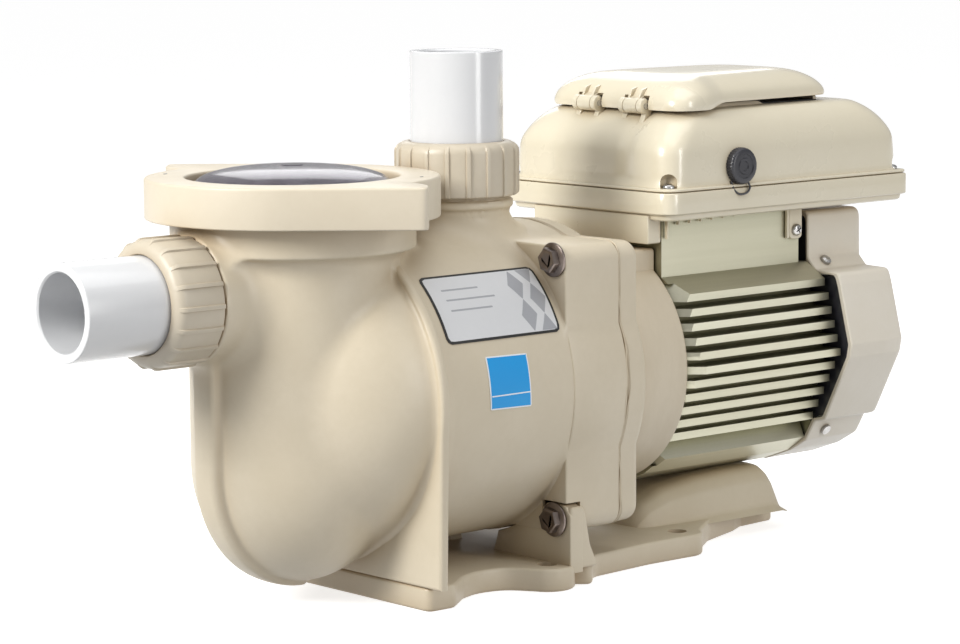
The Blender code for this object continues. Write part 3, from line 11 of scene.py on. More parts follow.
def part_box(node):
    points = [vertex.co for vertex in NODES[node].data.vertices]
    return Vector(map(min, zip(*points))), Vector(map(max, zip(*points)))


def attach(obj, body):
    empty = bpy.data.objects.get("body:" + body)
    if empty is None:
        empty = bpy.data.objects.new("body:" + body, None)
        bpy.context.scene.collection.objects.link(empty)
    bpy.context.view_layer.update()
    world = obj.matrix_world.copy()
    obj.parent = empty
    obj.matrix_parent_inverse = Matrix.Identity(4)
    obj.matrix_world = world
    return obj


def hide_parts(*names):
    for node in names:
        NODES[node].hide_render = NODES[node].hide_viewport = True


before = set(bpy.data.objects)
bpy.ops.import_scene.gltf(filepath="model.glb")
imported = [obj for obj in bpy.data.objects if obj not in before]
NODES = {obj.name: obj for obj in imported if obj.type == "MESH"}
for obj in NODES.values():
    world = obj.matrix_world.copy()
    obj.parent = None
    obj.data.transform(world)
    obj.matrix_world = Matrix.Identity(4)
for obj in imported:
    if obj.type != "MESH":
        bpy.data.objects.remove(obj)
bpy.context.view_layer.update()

GAP = 0.0004
SHAFT_Z = 0.127
SUCTION_Z = 0.197
POT_X = -0.135
POT_RADIUS = 0.066
POT_WALL = 0.005
POT_FLOOR_Z = 0.013
POT_BOWL_Z = 0.090
COLLAR_RADIUS = 0.0765
POT_TOP_Z = 0.2525
MOUTH_RADIUS = 0.0662
LEDGE_Z = 0.229
DOME_X = -0.100
DOME_LENGTH = 0.082
DOME_RADIUS = 0.098
WEB_RADIUS = 0.1045
DRUM_RADIUS = 0.100
FLANGE_X = 0.010
JOINT_X = 0.057
SEAL_REAR_X = 0.0757
SQUARE_HALF = 0.0925
BOLT_Y = 0.082
BOLT_Z = 0.0835
PIPE_RADIUS = 0.03015
PIPE_BORE = 0.02425
NUT_RADIUS = 0.0397
NUT_LENGTH = 0.035
TAIL_LENGTH = 0.058
SUCTION_NUT_X = -0.252
DISCHARGE_NUT_Z = 0.2825
RING_RADIUS = 0.092
RING_OPENING = 0.0665
RING_Z = (0.2425, 0.268)
EAR_ANGLES = (-131.4, 48.6)
EAR_LENGTH = 0.086
BELL_RADIUS = 0.082
BELL_REAR_X = 0.130
TRAY_X = (0.117, 0.352)
TRAY_Y = (-0.076, 0.086)
TRAY_Z = (0.2255, 0.2445)
DRIVE_TOP_Z = 0.297
LID_X = (0.1395, 0.302)
LID_Y = (-0.064, 0.068)
HINGE_X, HINGE_Z, HINGE_Y = 0.1385, 0.2992, (-0.0215, 0.0235)
PORT_X, PORT_Z, PORT_FACE_Y = 0.186, 0.259, -0.0788
FOOT_HEIGHT = 0.015

# the camera: focal length in millimetres, place, and its turn left, down and over in degrees
LENS_LENGTH = 125.97825
CAMERA_PLACE = (-1.41941, -1.63889, 0.44754)
CAMERA_TURN = (48.7257, 7.4555, -0.366)
# how far from the shaft the films of the nameplate and the sticker lie: border, face, print
BORDER_FILM, FACE_FILM, PRINT_FILM = 0.10045, 0.10055, 0.10062

PIECES = []


# ---- finishes -----------------------------------------------------------------------------------------------
def new_material(name):
    made = bpy.data.materials.new(name)
    made.use_nodes = True
    return made, made.node_tree, made.node_tree.nodes["Principled BSDF"]


def node(tree, kind, **values):
    made = tree.nodes.new("ShaderNode" + kind)
    for key, value in values.items():
        if key[0].isupper():
            made.inputs[key].default_value = value
        else:
            setattr(made, key, value)
    return made


def mixed(tree, factor, first, second, blend="MIX"):
    made = node(tree, "Mix", data_type="RGBA", blend_type=blend)
    for socket, value in ((0, factor), (6, first), (7, second)):
        if isinstance(value, (int, float)):
            made.inputs[socket].default_value = value
        elif isinstance(value, tuple):
            made.inputs[socket].default_value = (*value, 1.0)
        else:
            tree.links.new(value, made.inputs[socket])
    return made.outputs[2]


def ranged(tree, value, low, high, to_low, to_high):
    made = node(tree, "MapRange")
    tree.links.new(value, made.inputs["Value"])
    for key, amount in (("From Min", low), ("From Max", high), ("To Min", to_low), ("To Max", to_high)):
        made.inputs[key].default_value = amount
    return made.outputs["Result"]


def finish(
    name, base, worn, rough, metal=0.0, coat=0.0, grain=1100.0, bump=0.00005, stretch=(1, 1, 1),
    mottle=0.6, painted_shade_colour=(0.62, 0.50, 0.36), reach=0.022, shade=0.75, peel=0.0,
):
    """A surface with slow colour drift, small specks, fine grain in its height, and painted shade darkening its
    hollows, corners and the places between parts.
    """
    made, tree, shader = new_material(name)
    coord = node(tree, "TexCoord")
    placed = node(tree, "Mapping", Scale=stretch)
    tree.links.new(coord.outputs["Object"], placed.inputs["Vector"])
    noises = []
    for scale, detail, roughness in ((17.0, 5.0, 0.6), (230.0, 3.0, 0.6), (grain, 3.0, 0.5)):
        made_noise = node(tree, "TexNoise", Scale=scale, Detail=detail, Roughness=roughness)
        tree.links.new(placed.outputs["Vector"], made_noise.inputs["Vector"])
        noises.append(made_noise.outputs["Fac"])
    drift = ranged(tree, noises[0], 0.35, 0.68, 0.0, mottle)
    speck = ranged(tree, noises[1], 0.35, 0.70, 0.0, 0.30 * mottle)
    colour = mixed(tree, drift, base, worn)
    colour = mixed(tree, speck, colour, worn)
    # painted shade: ambient occlusion multiplies the colour by a darker tint in hollows, corners and between
    # parts, as strongly as shade says and over the reach distance
    shut = node(tree, "AmbientOcclusion", samples=8, Distance=reach)
    depth = ranged(tree, shut.outputs["AO"], 0.15, 0.95, shade, 0.0)
    colour = mixed(tree, depth, colour, painted_shade_colour, "MULTIPLY")
    tree.links.new(colour, shader.inputs["Base Color"])
    worn_rough = ranged(tree, noises[0], 0.3, 0.7, rough - 0.06, rough + 0.07)
    tree.links.new(worn_rough, shader.inputs["Roughness"])
    shader.inputs["Metallic"].default_value = metal
    shader.inputs["Coat Weight"].default_value = coat
    shader.inputs["Coat Roughness"].default_value = 0.12
    fine = node(tree, "Bump", Strength=0.6, Distance=bump)
    tree.links.new(noises[2], fine.inputs["Height"])
    normal = fine.outputs["Normal"]
    if peel:
        soft = node(tree, "TexNoise", Scale=240.0, Detail=1.0)
        tree.links.new(coord.outputs["Object"], soft.inputs["Vector"])
        wavy = node(tree, "Bump", Strength=0.6, Distance=peel)
        tree.links.new(soft.outputs["Fac"], wavy.inputs["Height"])
        tree.links.new(normal, wavy.inputs["Normal"])
        normal = wavy.outputs["Normal"]
        tree.links.new(normal, shader.inputs["Coat Normal"])
    tree.links.new(normal, shader.inputs["Normal"])
    return made


def smoked():
    made, tree, shader = new_material("smoked_clear")
    coord = node(tree, "TexCoord")
    cloud = node(tree, "TexNoise", Scale=60.0, Detail=4.0)
    tree.links.new(coord.outputs["Object"], cloud.inputs["Vector"])
    share = ranged(tree, cloud.outputs["Fac"], 0.35, 0.65, 0.0, 1.0)
    tint = mixed(tree, share, (0.30, 0.28, 0.33), (0.38, 0.36, 0.42))
    tree.links.new(tint, shader.inputs["Base Color"])
    tree.links.new(ranged(tree, cloud.outputs["Fac"], 0.3, 0.7, 0.10, 0.20), shader.inputs["Roughness"])
    shader.inputs["Transmission Weight"].default_value = 0.82
    shader.inputs["IOR"].default_value = 1.38
    scratch = node(tree, "TexNoise", Scale=700.0, Detail=2.0)
    tree.links.new(coord.outputs["Object"], scratch.inputs["Vector"])
    fine = node(tree, "Bump", Strength=0.25, Distance=0.00002)
    tree.links.new(scratch.outputs["Fac"], fine.inputs["Height"])
    tree.links.new(fine.outputs["Normal"], shader.inputs["Normal"])
    return made


# tint of the painted shade in the metals' hollows
METAL_PAINTED_SHADE = (0.30, 0.29, 0.20)
PLASTIC = finish("housing_plastic", (0.66, 0.585, 0.455), (0.59, 0.515, 0.385), 0.40, bump=0.00007, mottle=0.7)
NUT_PLASTIC = finish("nut_plastic", (0.58, 0.52, 0.42), (0.51, 0.45, 0.35), 0.36, bump=0.00004, reach=0.010)
RING_PLASTIC = finish("ring_plastic", (0.67, 0.60, 0.48), (0.60, 0.53, 0.41), 0.44, bump=0.00006)
CREAM = finish(
    "drive_paint", (0.74, 0.68, 0.535), (0.69, 0.625, 0.475), 0.30, coat=0.6, bump=0.00002, peel=0.00010,
    mottle=0.5, shade=0.6,
)
COVER_PAINT = finish(
    "cover_paint", (0.76, 0.71, 0.62), (0.70, 0.645, 0.54), 0.42, grain=900, bump=0.00016, coat=0.15,
)
BELL_PAINT = finish("bell_paint", (0.66, 0.58, 0.45), (0.58, 0.50, 0.37), 0.42, bump=0.00008, stretch=(3, 1, 1))
# strong, wide painted shade darkens the gaps between the fins
ALUMINIUM = finish(
    "bare_aluminium", (0.66, 0.645, 0.52), (0.50, 0.48, 0.36), 0.36, metal=0.85, grain=520, bump=0.00008,
    stretch=(0.03, 1, 1), mottle=0.8, painted_shade_colour=METAL_PAINTED_SHADE, reach=0.030, shade=0.95,
)
STEEL = finish(
    "bright_steel", (0.62, 0.61, 0.60), (0.45, 0.44, 0.43), 0.24, metal=1.0, bump=0.00002, painted_shade_colour=(0.3, 0.3, 0.3),
)
BRONZE = finish(
    "bolt_steel", (0.33, 0.28, 0.25), (0.16, 0.13, 0.12), 0.30, metal=1.0, grain=1700, bump=0.00006, mottle=1.0,
    painted_shade_colour=(0.2, 0.18, 0.16), reach=0.006,
)
WHITE = finish(
    "white_pvc", (0.70, 0.71, 0.73), (0.65, 0.66, 0.68), 0.20, coat=0.5, bump=0.00002, painted_shade_colour=(0.75, 0.75, 0.76),
)
RUBBER = finish("black_rubber", (0.022, 0.022, 0.024), (0.045, 0.044, 0.043), 0.55, painted_shade_colour=(0.6, 0.6, 0.6))
BLACK = finish(
    "black_plastic", (0.020, 0.020, 0.026), (0.040, 0.040, 0.050), 0.33, bump=0.00004, painted_shade_colour=(0.6, 0.6, 0.6),
)
BUTTON = finish(
    "button_plastic", (0.78, 0.76, 0.70), (0.70, 0.68, 0.61), 0.38, painted_shade_colour=(0.6, 0.58, 0.55), reach=0.004,
)
BOARD = finish("board_green", (0.03, 0.17, 0.07), (0.05, 0.24, 0.11), 0.35, grain=500, bump=0.0001)
LAMINATE = finish(
    "laminated_steel", (0.30, 0.27, 0.25), (0.42, 0.24, 0.12), 0.4, metal=0.9, grain=700, stretch=(4, 1, 1),
)
FLAT = {"reach": 0.001, "shade": 0.0}
LABEL_BLACK = finish("label_black", (0.018, 0.018, 0.018), (0.03, 0.03, 0.03), 0.35, **FLAT)
LABEL_SILVER = finish("label_silver", (0.74, 0.75, 0.77), (0.68, 0.69, 0.71), 0.34, metal=0.15, **FLAT)
LABEL_GREY = finish("label_grey", (0.42, 0.43, 0.46), (0.38, 0.39, 0.42), 0.34, metal=0.15, **FLAT)
STICKER_BLUE = finish("sticker_blue", (0.0, 0.34, 0.80), (0.0, 0.31, 0.76), 0.34, **FLAT)
STICKER_WHITE = finish("sticker_white", (0.86, 0.90, 0.92), (0.80, 0.84, 0.88), 0.34, **FLAT)
SMOKED = smoked()
# a piece's material, body and slot
MOULDED = (PLASTIC, "pump", "housing_plastic")
RING = (RING_PLASTIC, "ring", "housing_plastic")
DRIVE = (CREAM, "pump", "painted_metal")
FLAP = (CREAM, "drive_flap", "painted_metal")
BELL = (BELL_PAINT, "pump", "painted_metal")
LENS = (SMOKED, "lid", "smoked_clear")
TOOL = (WHITE, None, "")

CAD_FINISHES = {
    PLASTIC: ("pump_housing", "foot", "impeller", "diffuser", "strainer_basket"),
    RING_PLASTIC: ("clamp_ring",),
    NUT_PLASTIC: ("suction_nut", "discharge_nut"),
    CREAM: ("drive_tray", "drive_cover", "drive_lid"),
    COVER_PAINT: ("fan_cover",),
    BELL_PAINT: ("motor_bell", "seal_plate"),
    ALUMINIUM: ("motor_frame", "rear_bell"),
    STEEL: tuple(name for name in NODES if "screw" in name)
    + ("shaft", "seal_spring", "hinge_pin_1", "hinge_pin_2", "bearing_front", "bearing_rear"),
    BRONZE: tuple(name for name in NODES if name.startswith("flange_bolt")),
    WHITE: ("suction_tailpiece", "discharge_tailpiece"),
    RUBBER: tuple(name for name in NODES if "o_ring" in name) + ("seal_rotating",),
    BLACK: ("port_cap", "keypad_panel", "drain_plug_1", "drain_plug_2", "cooling_fan", "display"),
    BUTTON: ("button_1", "button_2", "button_3", "button_4", "seal_stationary"),
    BOARD: ("control_board",),
    LAMINATE: ("stator", "rotor"),
    SMOKED: ("pot_lid",),
}


# ---- mesh tools ---------------------------------------------------------------------------------------------
def arc(centre, radius, start, end, steps):
    points = []
    for step in range(steps + 1):
        turn = math.radians(start + (end - start) * step / steps)
        points.append((centre[0] + radius * math.cos(turn), centre[1] + radius * math.sin(turn)))
    return points


def fillet(points, radius, steps=6, closed=True):
    """Rounds the corners of an outline. A point may carry its own radius as a third number."""
    count, done = len(points), []
    for number, point in enumerate(points):
        own = point[2] if len(point) > 2 else radius
        here = Vector(point[:2])
        if own <= 0 or (not closed and number in (0, count - 1)):
            done.append(tuple(here))
            continue
        before = Vector(points[number - 1][:2]) - here
        after = Vector(points[(number + 1) % count][:2]) - here
        opening = before.angle(after, math.pi)
        if opening > math.radians(178) or opening < 1e-3:
            done.append(tuple(here))
            continue
        run = min(own / math.tan(opening / 2), 0.49 * before.length, 0.49 * after.length)
        start, end = here + before.normalized() * run, here + after.normalized() * run
        for step in range(steps + 1):
            share = step / steps
            done.append(tuple(start * (1 - share) ** 2 + here * 2 * share * (1 - share) + end * share**2))
    return done


def turned_way(points):
    area = sum(a[0] * b[1] - b[0] * a[1] for a, b in zip(points, points[1:] + points[:1]))
    return 1.0 if area > 0 else -1.0


def inset(points, distance):
    way, count, moved = turned_way(points), len(points), []
    for number in range(count):
        here = Vector(points[number])
        one = here - Vector(points[number - 1])
        two = Vector(points[(number + 1) % count]) - here
        if one.length < 1e-9 or two.length < 1e-9:
            one = two = one if one.length > two.length else two
        one, two = one.normalized(), two.normalized()
        normal = (Vector((-one.y, one.x)) + Vector((-two.y, two.x))) / max(1 + one.dot(two), 0.4)
        moved.append(tuple(here + way * distance * normal))
    return moved


def resampled(points, count):
    """The same closed outline with evenly spaced points."""
    ring = np.array(points + points[:1])
    along = np.concatenate([[0], np.cumsum(np.linalg.norm(np.diff(ring, axis=0), axis=1))])
    at = np.linspace(0, along[-1], count, endpoint=False)
    return list(zip(np.interp(at, along, ring[:, 0]), np.interp(at, along, ring[:, 1])))


def linked(name, data):
    made = bpy.data.objects.new(name, data)
    bpy.context.scene.collection.objects.link(made)
    return made


def place(axis, along, across, up):
    return {"X": (along, across, up), "Y": (across, along, up), "Z": (across, up, along)}[axis]


def piece(name, verts, faces, material, body, slot, smooth=32.0):
    mesh = bpy.data.meshes.new(name)
    mesh.from_pydata([tuple(v) for v in verts], [], faces)
    shape = bmesh.new()
    shape.from_mesh(mesh)
    bmesh.ops.remove_doubles(shape, verts=shape.verts, dist=1e-6)
    bmesh.ops.dissolve_degenerate(shape, dist=1e-7, edges=shape.edges)
    bmesh.ops.recalc_face_normals(shape, faces=shape.faces)
    shape.to_mesh(mesh)
    shape.free()
    made = linked(name, mesh)
    return dressed(made, material, body, slot, smooth)


def dressed(made, material, body, slot, smooth=32.0):
    mesh = made.data
    mesh.materials.clear()
    mesh.materials.append(material)
    mesh.shade_smooth()
    mesh.set_sharp_from_angle(angle=math.radians(smooth))
    if body:
        PIECES.append((made, body, slot))
    return made


def skin(name, loops, material, body, slot, wrap=False, smooth=32.0):
    """A surface through loops of points. It wraps round to the first loop, or is capped at its ends."""
    count = len(loops[0])
    verts = [point for loop in loops for point in loop]
    faces = []
    rows = range(len(loops) if wrap else len(loops) - 1)
    for row in rows:
        here, there = row * count, (row + 1) % len(loops) * count
        for step in range(count):
            after = (step + 1) % count
            faces.append((here + step, here + after, there + after, there + step))
    if not wrap:
        faces.append(tuple(range(count))[::-1])
        faces.append(tuple((len(loops) - 1) * count + step for step in range(count)))
    return piece(name, verts, faces, material, body, slot, smooth)


def lathe(name, profile, axis, centre, material, body, slot, radius=0.0, steps=96, smooth=32.0, closed=True):
    """A turned piece. The profile is (place along the axis, radius), with rounded corners."""
    loops = []
    for along, out in fillet(profile, radius, 5, closed):
        loop = []
        for step in range(steps):
            turn = 2 * math.pi * step / steps
            point = Vector(place(axis, along, out * math.cos(turn), out * math.sin(turn)))
            loop.append(point + Vector(centre))
        loops.append(loop)
    return skin(name, loops, material, body, slot, closed, smooth)


def edge_levels(low, high, edge, steps=4):
    """Places along a prism and how far its outline is drawn in there, for rounded edges."""
    turns = np.linspace(0, math.pi / 2, steps + 1)
    levels = [(low + edge * (1 - math.cos(t)), edge * (1 - math.sin(t))) for t in turns]
    return levels + [(high - (along - low), drawn) for along, drawn in reversed(levels)]


def plate(name, outline, axis, low, high, material, body, slot, edge=0.001, smooth=32.0):
    loops = []
    for along, drawn in edge_levels(low, high, edge):
        loops.append([place(axis, along, *point) for point in inset(outline, drawn)])
    return skin(name, loops, material, body, slot, smooth=smooth)


def boolean(base, tools):
    """Cuts the tools out of the base."""
    for tool in tools:
        change = base.modifiers.new("cut", "BOOLEAN")
        change.object, change.operation, change.solver = tool, "DIFFERENCE", "EXACT"
    graph = bpy.context.evaluated_depsgraph_get()
    mesh = bpy.data.meshes.new_from_object(base.evaluated_get(graph))
    base.modifiers.clear()
    base.data = mesh
    for tool in tools:
        bpy.data.objects.remove(tool)
    mesh.shade_smooth()
    mesh.set_sharp_from_angle(angle=math.radians(32))
    return base


def rod(axis, centre, radius, low, high, steps=48):
    profile = [(low, 0), (low, radius), (high, radius), (high, 0)]
    return lathe("tool", profile, axis, centre, *TOOL, 0, steps, closed=False)


def block(low, high):
    outline = [(low[0], low[1]), (high[0], low[1]), (high[0], high[1]), (low[0], high[1])]
    return plate("tool", outline, "Z", low[2], high[2], *TOOL, edge=0.0)


def rounded_rectangle(low_a, high_a, low_b, high_b, radius, steps=8):
    corners = (
        (high_a - radius, high_b - radius, 0),
        (low_a + radius, high_b - radius, 90),
        (low_a + radius, low_b + radius, 180),
        (high_a - radius, low_b + radius, 270),
    )
    return [point for a, b, start in corners for point in arc((a, b), radius, start, start + 90, steps)]


def joined(name, parts, material, body, slot, smooth=32.0):
    """One object of several closed shapes."""
    shape = bmesh.new()
    for part in parts:
        part.data.transform(part.matrix_basis)
        shape.from_mesh(part.data)
        bpy.data.objects.remove(part)
    mesh = bpy.data.meshes.new(name)
    shape.to_mesh(mesh)
    shape.free()
    made = linked(name, mesh)
    return dressed(made, material, body, slot, smooth)


# ---- the moulded housing: a blended solid, meshed from its distance field ------------------------------------
def smooth_min(a, b, k):
    h = np.clip(0.5 + 0.5 * (b - a) / k, 0, 1)
    return b + (a - b) * h - k * h * (1 - h)


def smooth_max(a, b, k):
    return -smooth_min(-a, -b, k)


def ellipsoid(p, q, across, along):
    """Distance to a turned ellipse: p is the distance from the axis, q the place along it."""
    near = np.sqrt((p / across) ** 2 + (q / along) ** 2)
    slope = np.sqrt((p / across**2) ** 2 + (q / along**2) ** 2) + 1e-6
    return near * (near - 1) / slope


def cylinder(radial, along, radius, low, high, k=0.0015):
    return smooth_max(radial - radius, np.abs(along - (low + high) / 2) - (high - low) / 2, k)


def rounded_box(a, b, half_a, half_b, radius):
    da, db = np.abs(a) - half_a + radius, np.abs(b) - half_b + radius
    outside = np.sqrt(np.maximum(da, 0) ** 2 + np.maximum(db, 0) ** 2)
    return outside + np.minimum(np.maximum(da, db), 0) - radius


def housing_field(x, y, z):
    pot_r = np.sqrt((x - POT_X) ** 2 + y**2)
    shaft_r = np.sqrt(y**2 + (z - SHAFT_Z) ** 2)
    suction_r = np.sqrt(y**2 + (z - SUCTION_Z) ** 2)
    up_r = np.sqrt(x**2 + y**2)
    below = np.minimum(z - POT_BOWL_Z, 0)
    pot = ellipsoid(pot_r, below, POT_RADIUS, POT_BOWL_Z - POT_FLOOR_Z)
    outer = smooth_max(pot, z - POT_TOP_Z, 0.001)
    outer = smooth_min(outer, cylinder(pot_r, z, COLLAR_RADIUS, 0.2235, POT_TOP_Z), 0.013)
    keel = ellipsoid(pot_r, below, POT_RADIUS + 0.0075, POT_BOWL_Z - POT_FLOOR_Z + 0.0030)
    keel = smooth_max(keel, np.abs(y) - 0.0102, 0.0035)
    keel = smooth_max(keel, smooth_max(x - POT_X, z - 0.19, 0.002), 0.002)
    outer = smooth_min(outer, keel, 0.0022)
    bulge_x = np.minimum(x - DOME_X, 0)
    bulge = ellipsoid(shaft_r, bulge_x, DOME_RADIUS, DOME_LENGTH)
    bulge = smooth_max(bulge, x - DOME_X - 0.006, 0.002)
    outer = smooth_min(outer, bulge, 0.0045)
    boss = cylinder(suction_r, x, 0.0392, -0.2165, -0.15)
    outer = smooth_min(outer, boss, 0.010)
    drum = cylinder(shaft_r, x, DRUM_RADIUS, DOME_X, JOINT_X - 0.002)
    neck = cylinder(up_r, z, 0.0325, 0.19, 0.2440)
    rim = cylinder(up_r, z, 0.0362, 0.2398, 0.2452)
    drum = smooth_min(drum, neck, 0.020)
    drum = smooth_min(drum, rim, 0.002)
    stand = np.maximum(np.abs(y) - 0.1005, z - SHAFT_Z)
    web = np.minimum(shaft_r - WEB_RADIUS + 0.0015, stand)
    web = smooth_max(web, np.abs(x - DOME_X) - 0.0022, 0.001)
    web = smooth_max(web, FOOT_HEIGHT + 0.002 - z, 0.001)
    square = rounded_box(y, z - SHAFT_Z, SQUARE_HALF - 0.001, SQUARE_HALF - 0.001, 0.012)
    square = smooth_max(square, np.abs(x - 0.0335) - 0.0225, 0.001)
    drum = smooth_min(drum, square, 0.005)
    outer = smooth_min(outer, drum, 0.006)
    outer = smooth_min(outer, web, 0.006)
    spigot = np.minimum(cylinder(suction_r, x, 0.034, -0.2375, -0.19), cylinder(up_r, z, 0.034, 0.235, 0.2680))
    outer = np.minimum(outer, spigot)
    for drain_x, drain_y, drain_z in ((POT_X, 0.0610, 0.045), (-0.030, 0.0940, 0.078)):
        plug_r = np.sqrt((x - drain_x) ** 2 + (z - drain_z) ** 2)
        outer = smooth_min(outer, cylinder(plug_r, y, 0.0128, drain_y - 0.03, drain_y), 0.004)
    inner_pot = ellipsoid(pot_r, below, POT_RADIUS - POT_WALL, POT_BOWL_Z - POT_FLOOR_Z - POT_WALL)
    inner_pot = np.maximum(inner_pot, z - 0.30)
    mouth = np.maximum(pot_r - MOUTH_RADIUS, LEDGE_Z - z)
    volute = ellipsoid(shaft_r, bulge_x, 0.087, DOME_LENGTH - 0.007)
    volute = np.maximum(np.maximum(volute, x - 0.07), 0.0012 - pot)
    eye = cylinder(shaft_r, x, 0.0268, POT_X, DOME_X + 0.06)
    bores = np.minimum(
        cylinder(suction_r, x, 0.025, -0.30, POT_X), cylinder(up_r, z, 0.025, SHAFT_Z, 0.30)
    )
    hollow = np.minimum(np.minimum(np.minimum(inner_pot, mouth), np.minimum(volute, eye)), bores)
    for drain_x, drain_y, drain_z in ((POT_X, 0.0570, 0.045), (-0.030, 0.0900, 0.078)):
        plug_r = np.sqrt((x - drain_x) ** 2 + (z - drain_z) ** 2)
        hollow = np.minimum(hollow, cylinder(plug_r, y, 0.009, drain_y - 0.022, drain_y + 0.02))
    for side in (-1, 1):
        recess = np.maximum(np.abs(x - 0.011) - 0.011, np.maximum(0.0700 - side * y, z - 0.0550))
        hollow = np.minimum(hollow, recess)
    return smooth_max(outer, -hollow, 0.0012)


def surface_net(field, low, high, pitch):
    """Vertices and faces of the field's zero surface, from a grid of samples."""
    axes = [np.arange(a, b + pitch, pitch) for a, b in zip(low, high)]
    x, y, z = np.meshgrid(*axes, indexing="ij", sparse=True)
    values = field(x, y, z).astype(np.float32)
    inside = values < 0
    count = np.zeros(tuple(n - 1 for n in values.shape), np.uint8)
    corners = [(i, j, k) for i in (0, 1) for j in (0, 1) for k in (0, 1)]
    size = values.shape
    for i, j, k in corners:
        count += inside[i : size[0] - 1 + i, j : size[1] - 1 + j, k : size[2] - 1 + k]
    cells = np.argwhere((count > 0) & (count < 8))
    number = np.full(count.shape, -1, np.int32)
    number[tuple(cells.T)] = np.arange(len(cells))
    total = np.zeros((len(cells), 3))
    crossings = np.zeros(len(cells))
    sample = {corner: values[tuple((cells + corner).T)] for corner in corners}
    for first in corners:
        for axis in range(3):
            if first[axis]:
                continue
            second = tuple(c + (1 if n == axis else 0) for n, c in enumerate(first))
            a, b = sample[first], sample[second]
            crossed = (a < 0) != (b < 0)
            share = np.where(crossed, a / np.where(a == b, 1, a - b), 0)
            point = np.array(first, float) + np.eye(3)[axis] * share[:, None]
            total += point * crossed[:, None]
            crossings += crossed
    verts = (cells + total / crossings[:, None]) * pitch + np.array([a[0] for a in axes])
    for _ in range(3):
        here = field(*verts.T)
        nudge = 0.0002
        slope = np.stack([field(*(verts + np.eye(3)[n] * nudge).T) - here for n in range(3)], 1) / nudge
        size_of = np.maximum((slope**2).sum(1, keepdims=True), 0.25)
        verts -= np.clip(here[:, None] * slope / size_of, -0.6 * pitch, 0.6 * pitch)
    faces = []
    for axis in range(3):
        one, two = (axis + 1) % 3, (axis + 2) % 3
        ahead = np.roll(inside, -1, axis)
        changed = inside != ahead
        cut = [slice(1, n - 1) for n in size]
        cut[axis] = slice(0, size[axis] - 1)
        spots = np.argwhere(changed[tuple(cut)]) + [c.start for c in cut]
        flips = inside[tuple(spots.T)]
        quad = []
        for back_one, back_two in ((1, 1), (0, 1), (0, 0), (1, 0)):
            spot = spots.copy()
            spot[:, one] -= back_one
            spot[:, two] -= back_two
            quad.append(number[tuple(spot.T)])
        quad = np.stack(quad, 1)
        quad[~flips] = quad[~flips][:, ::-1]
        faces.append(quad)
    return verts, np.concatenate(faces)


def housing_shell():
    pitch = 0.0018
    verts, faces = surface_net(housing_field, (-0.246, -0.110, 0.008), (0.060, 0.110, 0.272), pitch)
    mesh = bpy.data.meshes.new("housing_shell")
    mesh.vertices.add(len(verts))
    mesh.vertices.foreach_set("co", verts.astype(np.float32).ravel())
    mesh.loops.add(4 * len(faces))
    mesh.loops.foreach_set("vertex_index", faces.ravel())
    mesh.polygons.add(len(faces))
    mesh.polygons.foreach_set("loop_start", np.arange(0, 4 * len(faces), 4))
    mesh.update(calc_edges=True)
    mesh.validate()
    made = linked("housing_shell", mesh)
    dressed(made, *MOULDED, 60)
    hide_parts("pump_housing")


def flange_outline(half, corner, bulge):
    reach = math.sqrt(bulge**2 - half**2)
    turn = math.degrees(math.atan2(reach, half))
    points = []
    for quarter in range(4):
        spin = Matrix.Rotation(math.radians(90 * quarter), 2)
        side = arc((0, 0), bulge, -turn, turn, 10)
        for point in side + arc((half - corner, half - corner), corner, 0, 90, 8):
            across, up = spin @ Vector(point)
            points.append((across, up + SHAFT_Z))
    return points


def housing_crisp():
    """The web, the bolted flange and the seal plate, whose edges are sharper than the blended body's."""
    low = FOOT_HEIGHT + GAP
    outline = [(WEB_RADIUS - 0.003, low)] + arc((0, SHAFT_Z), WEB_RADIUS, -8, 188, 64)
    outline.append((-WEB_RADIUS + 0.003, low))
    half = 0.0035
    plate("housing_web", outline, "X", DOME_X - half, DOME_X + half, *MOULDED, 0.0022)
    flange = plate(
        "housing_flange", flange_outline(SQUARE_HALF, 0.012, 0.1009), "X", FLANGE_X, JOINT_X,
        *MOULDED, 0.0014,
    )
    tools = [block((-0.01, y, 0.0), (0.022, y + 0.05, 0.055)) for y in (0.070, -0.120)]
    tools.append(rod("X", (0, 0, SHAFT_Z), 0.0875, -0.02, 0.08, 96))
    boolean(flange, tools)
    loops = []
    sealing = flange_outline(SQUARE_HALF - 0.0004, 0.012, 0.1008)
    bend = 0.0055
    levels = [(JOINT_X + GAP, 0.0008), (JOINT_X + 0.0012, 0.0), (SEAL_REAR_X - bend, 0.0005)]
    for t in np.linspace(0.2, 1.57, 6):
        levels.append((SEAL_REAR_X - bend + bend * math.sin(t), bend * (1 - math.cos(t)) + 0.0005))
    for x, drawn in levels:
        loops.append([(x, *point) for point in inset(sealing, drawn)])
    made = skin("seal_flange", loops, *MOULDED)
    shaft_line = (0, 0, SHAFT_Z)
    boolean(made, [rod("X", shaft_line, 0.021, 0.04, 0.09), rod("X", shaft_line, 0.0745, 0.0697, 0.09)])
    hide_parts("seal_plate")
    for number, x in enumerate((JOINT_X - 0.0004, JOINT_X + 0.0010)):
        ring = []
        for level, out in ((-0.0005, -0.0012), (-0.0005, 0.0), (0.0, 0.0004), (0.0005, 0.0), (0.0005, -0.0012)):
            loop = []
            for y, z in resampled(inset(sealing, -out - 0.0001), 360):
                wave = 0.0011 * math.sin(z * 61 + y * 23 + number * 1.3)
                wave += 0.0004 * math.sin(z * 240 + y * 170 + number)
                loop.append((x + level + wave, y, z))
            ring.append(loop)
        skin(f"parting_flash_{number}", ring, *MOULDED, wrap=True)


